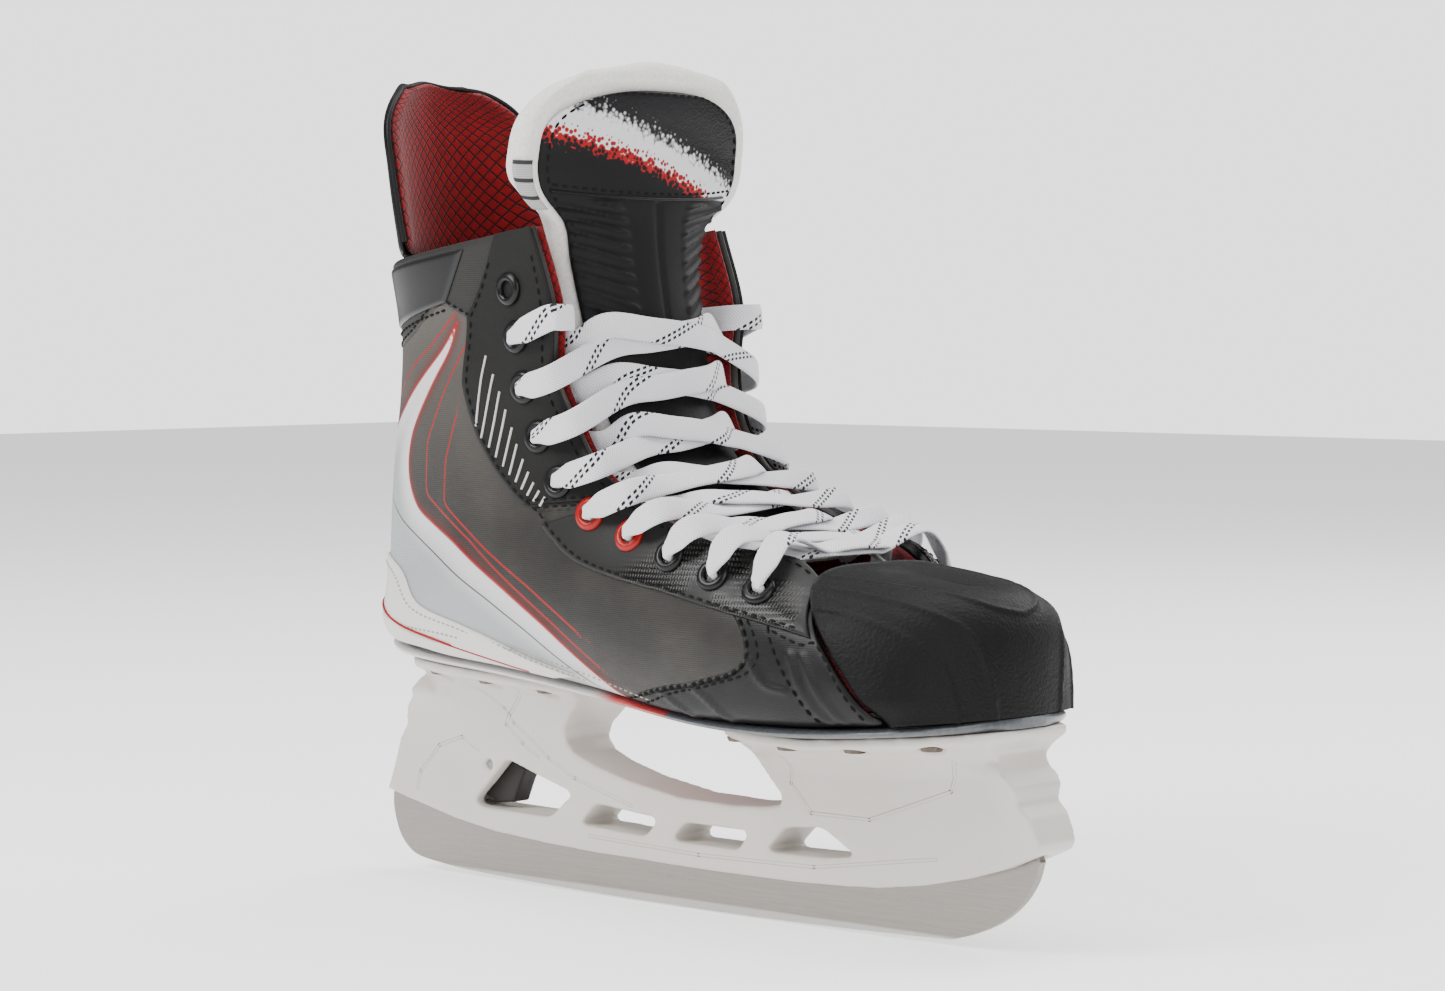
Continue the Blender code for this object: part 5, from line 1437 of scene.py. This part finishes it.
# The runner in side view, x and z: its two ends, and its top edge from toe to heel
RUNNER_TOE = ((110, 2.0), (118, 4.4), (128, 8.8), (136.5, 15.2), (142, 22.5), (144.5, 29.5))
RUNNER_HEEL = ((-112, 2.2), (-129.7, 4.2), (-136.6, 7.0), (-141.4, 12.2), (-144.2, 20),
               (-144.5, 25.5))
RUNNER_TOP = [(143, 33), (137, 33), (122, 29.5), (104, 25.5), (86, 22.5), (66, 20.6), (30, 19.8),
              (-30, 20.0), (-62, 21.5), (-86, 23.2), (-99.5, 24.8), (-100.5, 36.0),
              (-106.5, 36.0), (-108.0, 26.5), (-127, 31), (-137, 33), (-143, 31)]


def rocker(x):
    """Height of the runner's edge in its long curve."""
    far = max(abs(x) - ROCKER_FLAT, 0)
    return ROCKER_RADIUS - (ROCKER_RADIUS ** 2 - far ** 2) ** 0.5


def build_runner():
    """Steel runner with a fine rocker, rounded ends and bevelled edges; its sharpened edge is a
    brighter band of its finish.
    """
    tip = catmull(RUNNER_TOE, np.linspace(0, 1, 40))
    back = catmull(RUNNER_HEEL, np.linspace(0, 1, 40))[::-1]
    edge = [(x, rocker(x)) for x in np.linspace(-ROCKER_REACH, ROCKER_REACH, 80)]
    outline = [tuple(p) for p in back] + edge + [tuple(p) for p in tip] + RUNNER_TOP
    return flat_piece("runner_blade", outline, RUNNER_HALF, RUNNER_BEVEL, steel_finish())


def flat_piece(name, outline, half, bevel, material):
    """Piece cut from plate in the XZ plane, with its edges broken."""
    curve = bpy.data.curves.new(name, "CURVE")
    curve.dimensions = "2D"
    curve.fill_mode = "BOTH"
    curve.extrude = (half - bevel) * MM
    curve.bevel_depth = bevel * MM
    curve.bevel_resolution = 2
    curve.offset = -bevel * MM
    spline = curve.splines.new("POLY")
    spline.points.add(len(outline) - 1)
    for point, (x, z) in zip(spline.points, outline):
        point.co = ((x - MID_X) * MM, z * MM, 0, 1)
    spline.use_cyclic_u = True
    made = as_mesh(linked(name, curve))
    made.data.transform(Matrix.Rotation(pi / 2, 4, "X"))
    made.data.materials.clear()
    made.data.materials.append(material)
    made.data.set_sharp_from_angle(angle=radians(40))
    return made


def build_bottom():
    """Outsole, footbed, holder, runner, trigger and rivets."""
    rim = plate("outsole_plate", -0.9, -0.6, 0.3, 3.6, outsole_finish())
    ride_for(rim, "sole_dark", "outsole")
    foam = felt("footbed_foam", (0.16, 0.16, 0.165))
    bed = plate("footbed_pad", 9.0, 14.5, 9.2, 12.8, foam, crown=-1.2)
    ride_for(bed, "footbed_foam", "footbed")
    holder = smoothed_copy("holder_moulding", "blade_holder", holder_finish(), 0.75, 7)
    ride_for(holder, "holder_white", "blade_holder")
    ride_for(build_runner(), "runner_steel", "steel_runner", body="steel")
    grey = moulded("trigger_grey", (0.026, 0.024, 0.022), 0.42, grain=0.05)
    trigger = smoothed_copy("trigger_lever", "release_trigger", grey, 0.5, 3)
    ride_for(trigger, "trigger_grey", "release_trigger", body="trigger")
    pin = moulded("pin_steel", (0.30, 0.29, 0.28), 0.35, grain=0.01)
    rivet = Finish("rivet_metal", 0.4, metallic=1.0)
    rivet.bump(rivet.noise(900, 3.0), 0.03)
    rivet_done = rivet.finish(rivet.mix(rivet.noise(300, 3.0), (0.03, 0.03, 0.03),
                                        (0.20, 0.15, 0.12)))
    board = moulded("board_fibre", (0.20, 0.17, 0.13), 0.85, grain=0.1)
    pad = felt("pad_foam", (0.22, 0.22, 0.22))
    for node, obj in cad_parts.items():
        for start, material in (("rivet_", rivet_done), ("trigger_pin", pin),
                                ("trigger_spring", pin), ("insole_board", board),
                                ("ankle_pad", pad)):
            if node.startswith(start):
                for slot in obj.material_slots:
                    slot.material = material


# ---------------------------------------------------------------- floor, lights and camera

FLOOR_SIZE, FLOOR_DROP, FLOOR_GLOW = 8, 0.0004, 0.95
# Area lights: name, place in metres, size, power in watts
LIGHTS = (("key", (-0.55, -1.3, 1.25), 1.0, 40), ("fill", (1.5, -0.5, 0.8), 1.2, 17),
          ("back", (0.2, 1.3, 1.1), 1.2, 18), ("over", (-0.1, 0.1, 1.7), 1.3, 26))
LIT_POINT = (0, 0, 0.12)
WORLD_LIGHT, WORLD_SEEN = 0.24, 2.2     # strength on the skate, and as the camera sees it
CAMERA_SPOT = (0.8236, -0.8990, 0.1979)
CAMERA_DIP, CAMERA_TURN = 2.87, 42.15   # degrees below level and round from behind
LENS, SENSOR = 92.4, 36


def build_stage():
    """Pale floor, soft lights and the camera at the photograph's angle."""
    m = Finish("floor", 0.7, specular=0.2)
    m.bump(m.noise(300, 2.0), 0.02)
    m.shader.inputs["Emission Color"].default_value = (1, 1, 1, 1)
    m.shader.inputs["Emission Strength"].default_value = FLOOR_GLOW
    pale = m.finish(m.mix(m.noise(3, 2.0), (0.80, 0.80, 0.80), (0.83, 0.83, 0.83)))
    bpy.ops.mesh.primitive_plane_add(size=FLOOR_SIZE, location=(0, 0, -FLOOR_DROP))
    floor = bpy.context.object
    floor.name = "floor"
    floor.data.materials.append(pale)
    for name, spot, size, power in LIGHTS:
        light = bpy.data.lights.new(name, "AREA")
        light.size = size
        light.energy = power
        obj = linked(name, light)
        obj.location = spot
        aim = Vector(LIT_POINT) - Vector(spot)
        obj.rotation_euler = aim.to_track_quat("-Z", "Y").to_euler()
    world = bpy.data.worlds.new("studio")
    world.use_nodes = True
    background = world.node_tree.nodes["Background"]
    background.inputs["Color"].default_value = (1, 1, 1, 1)
    rays = world.node_tree.nodes.new("ShaderNodeLightPath")
    level = world.node_tree.nodes.new("ShaderNodeMapRange")
    level.inputs["To Min"].default_value = WORLD_LIGHT
    level.inputs["To Max"].default_value = WORLD_SEEN
    world.node_tree.links.new(rays.outputs["Is Camera Ray"], level.inputs["Value"])
    world.node_tree.links.new(level.outputs[0], background.inputs["Strength"])
    bpy.context.scene.world = world
    lens = bpy.data.cameras.new("camera")
    lens.lens = LENS
    lens.sensor_width = SENSOR
    camera = linked("camera", lens)
    camera.location = CAMERA_SPOT
    camera.rotation_euler = (radians(90 - CAMERA_DIP), 0, radians(CAMERA_TURN))
    bpy.context.scene.camera = camera


build_stage()
build_quarters()
build_overlays()
build_toe_cap()
build_eyelets()
build_tongue()
build_guard()
build_lace()
build_bottom()
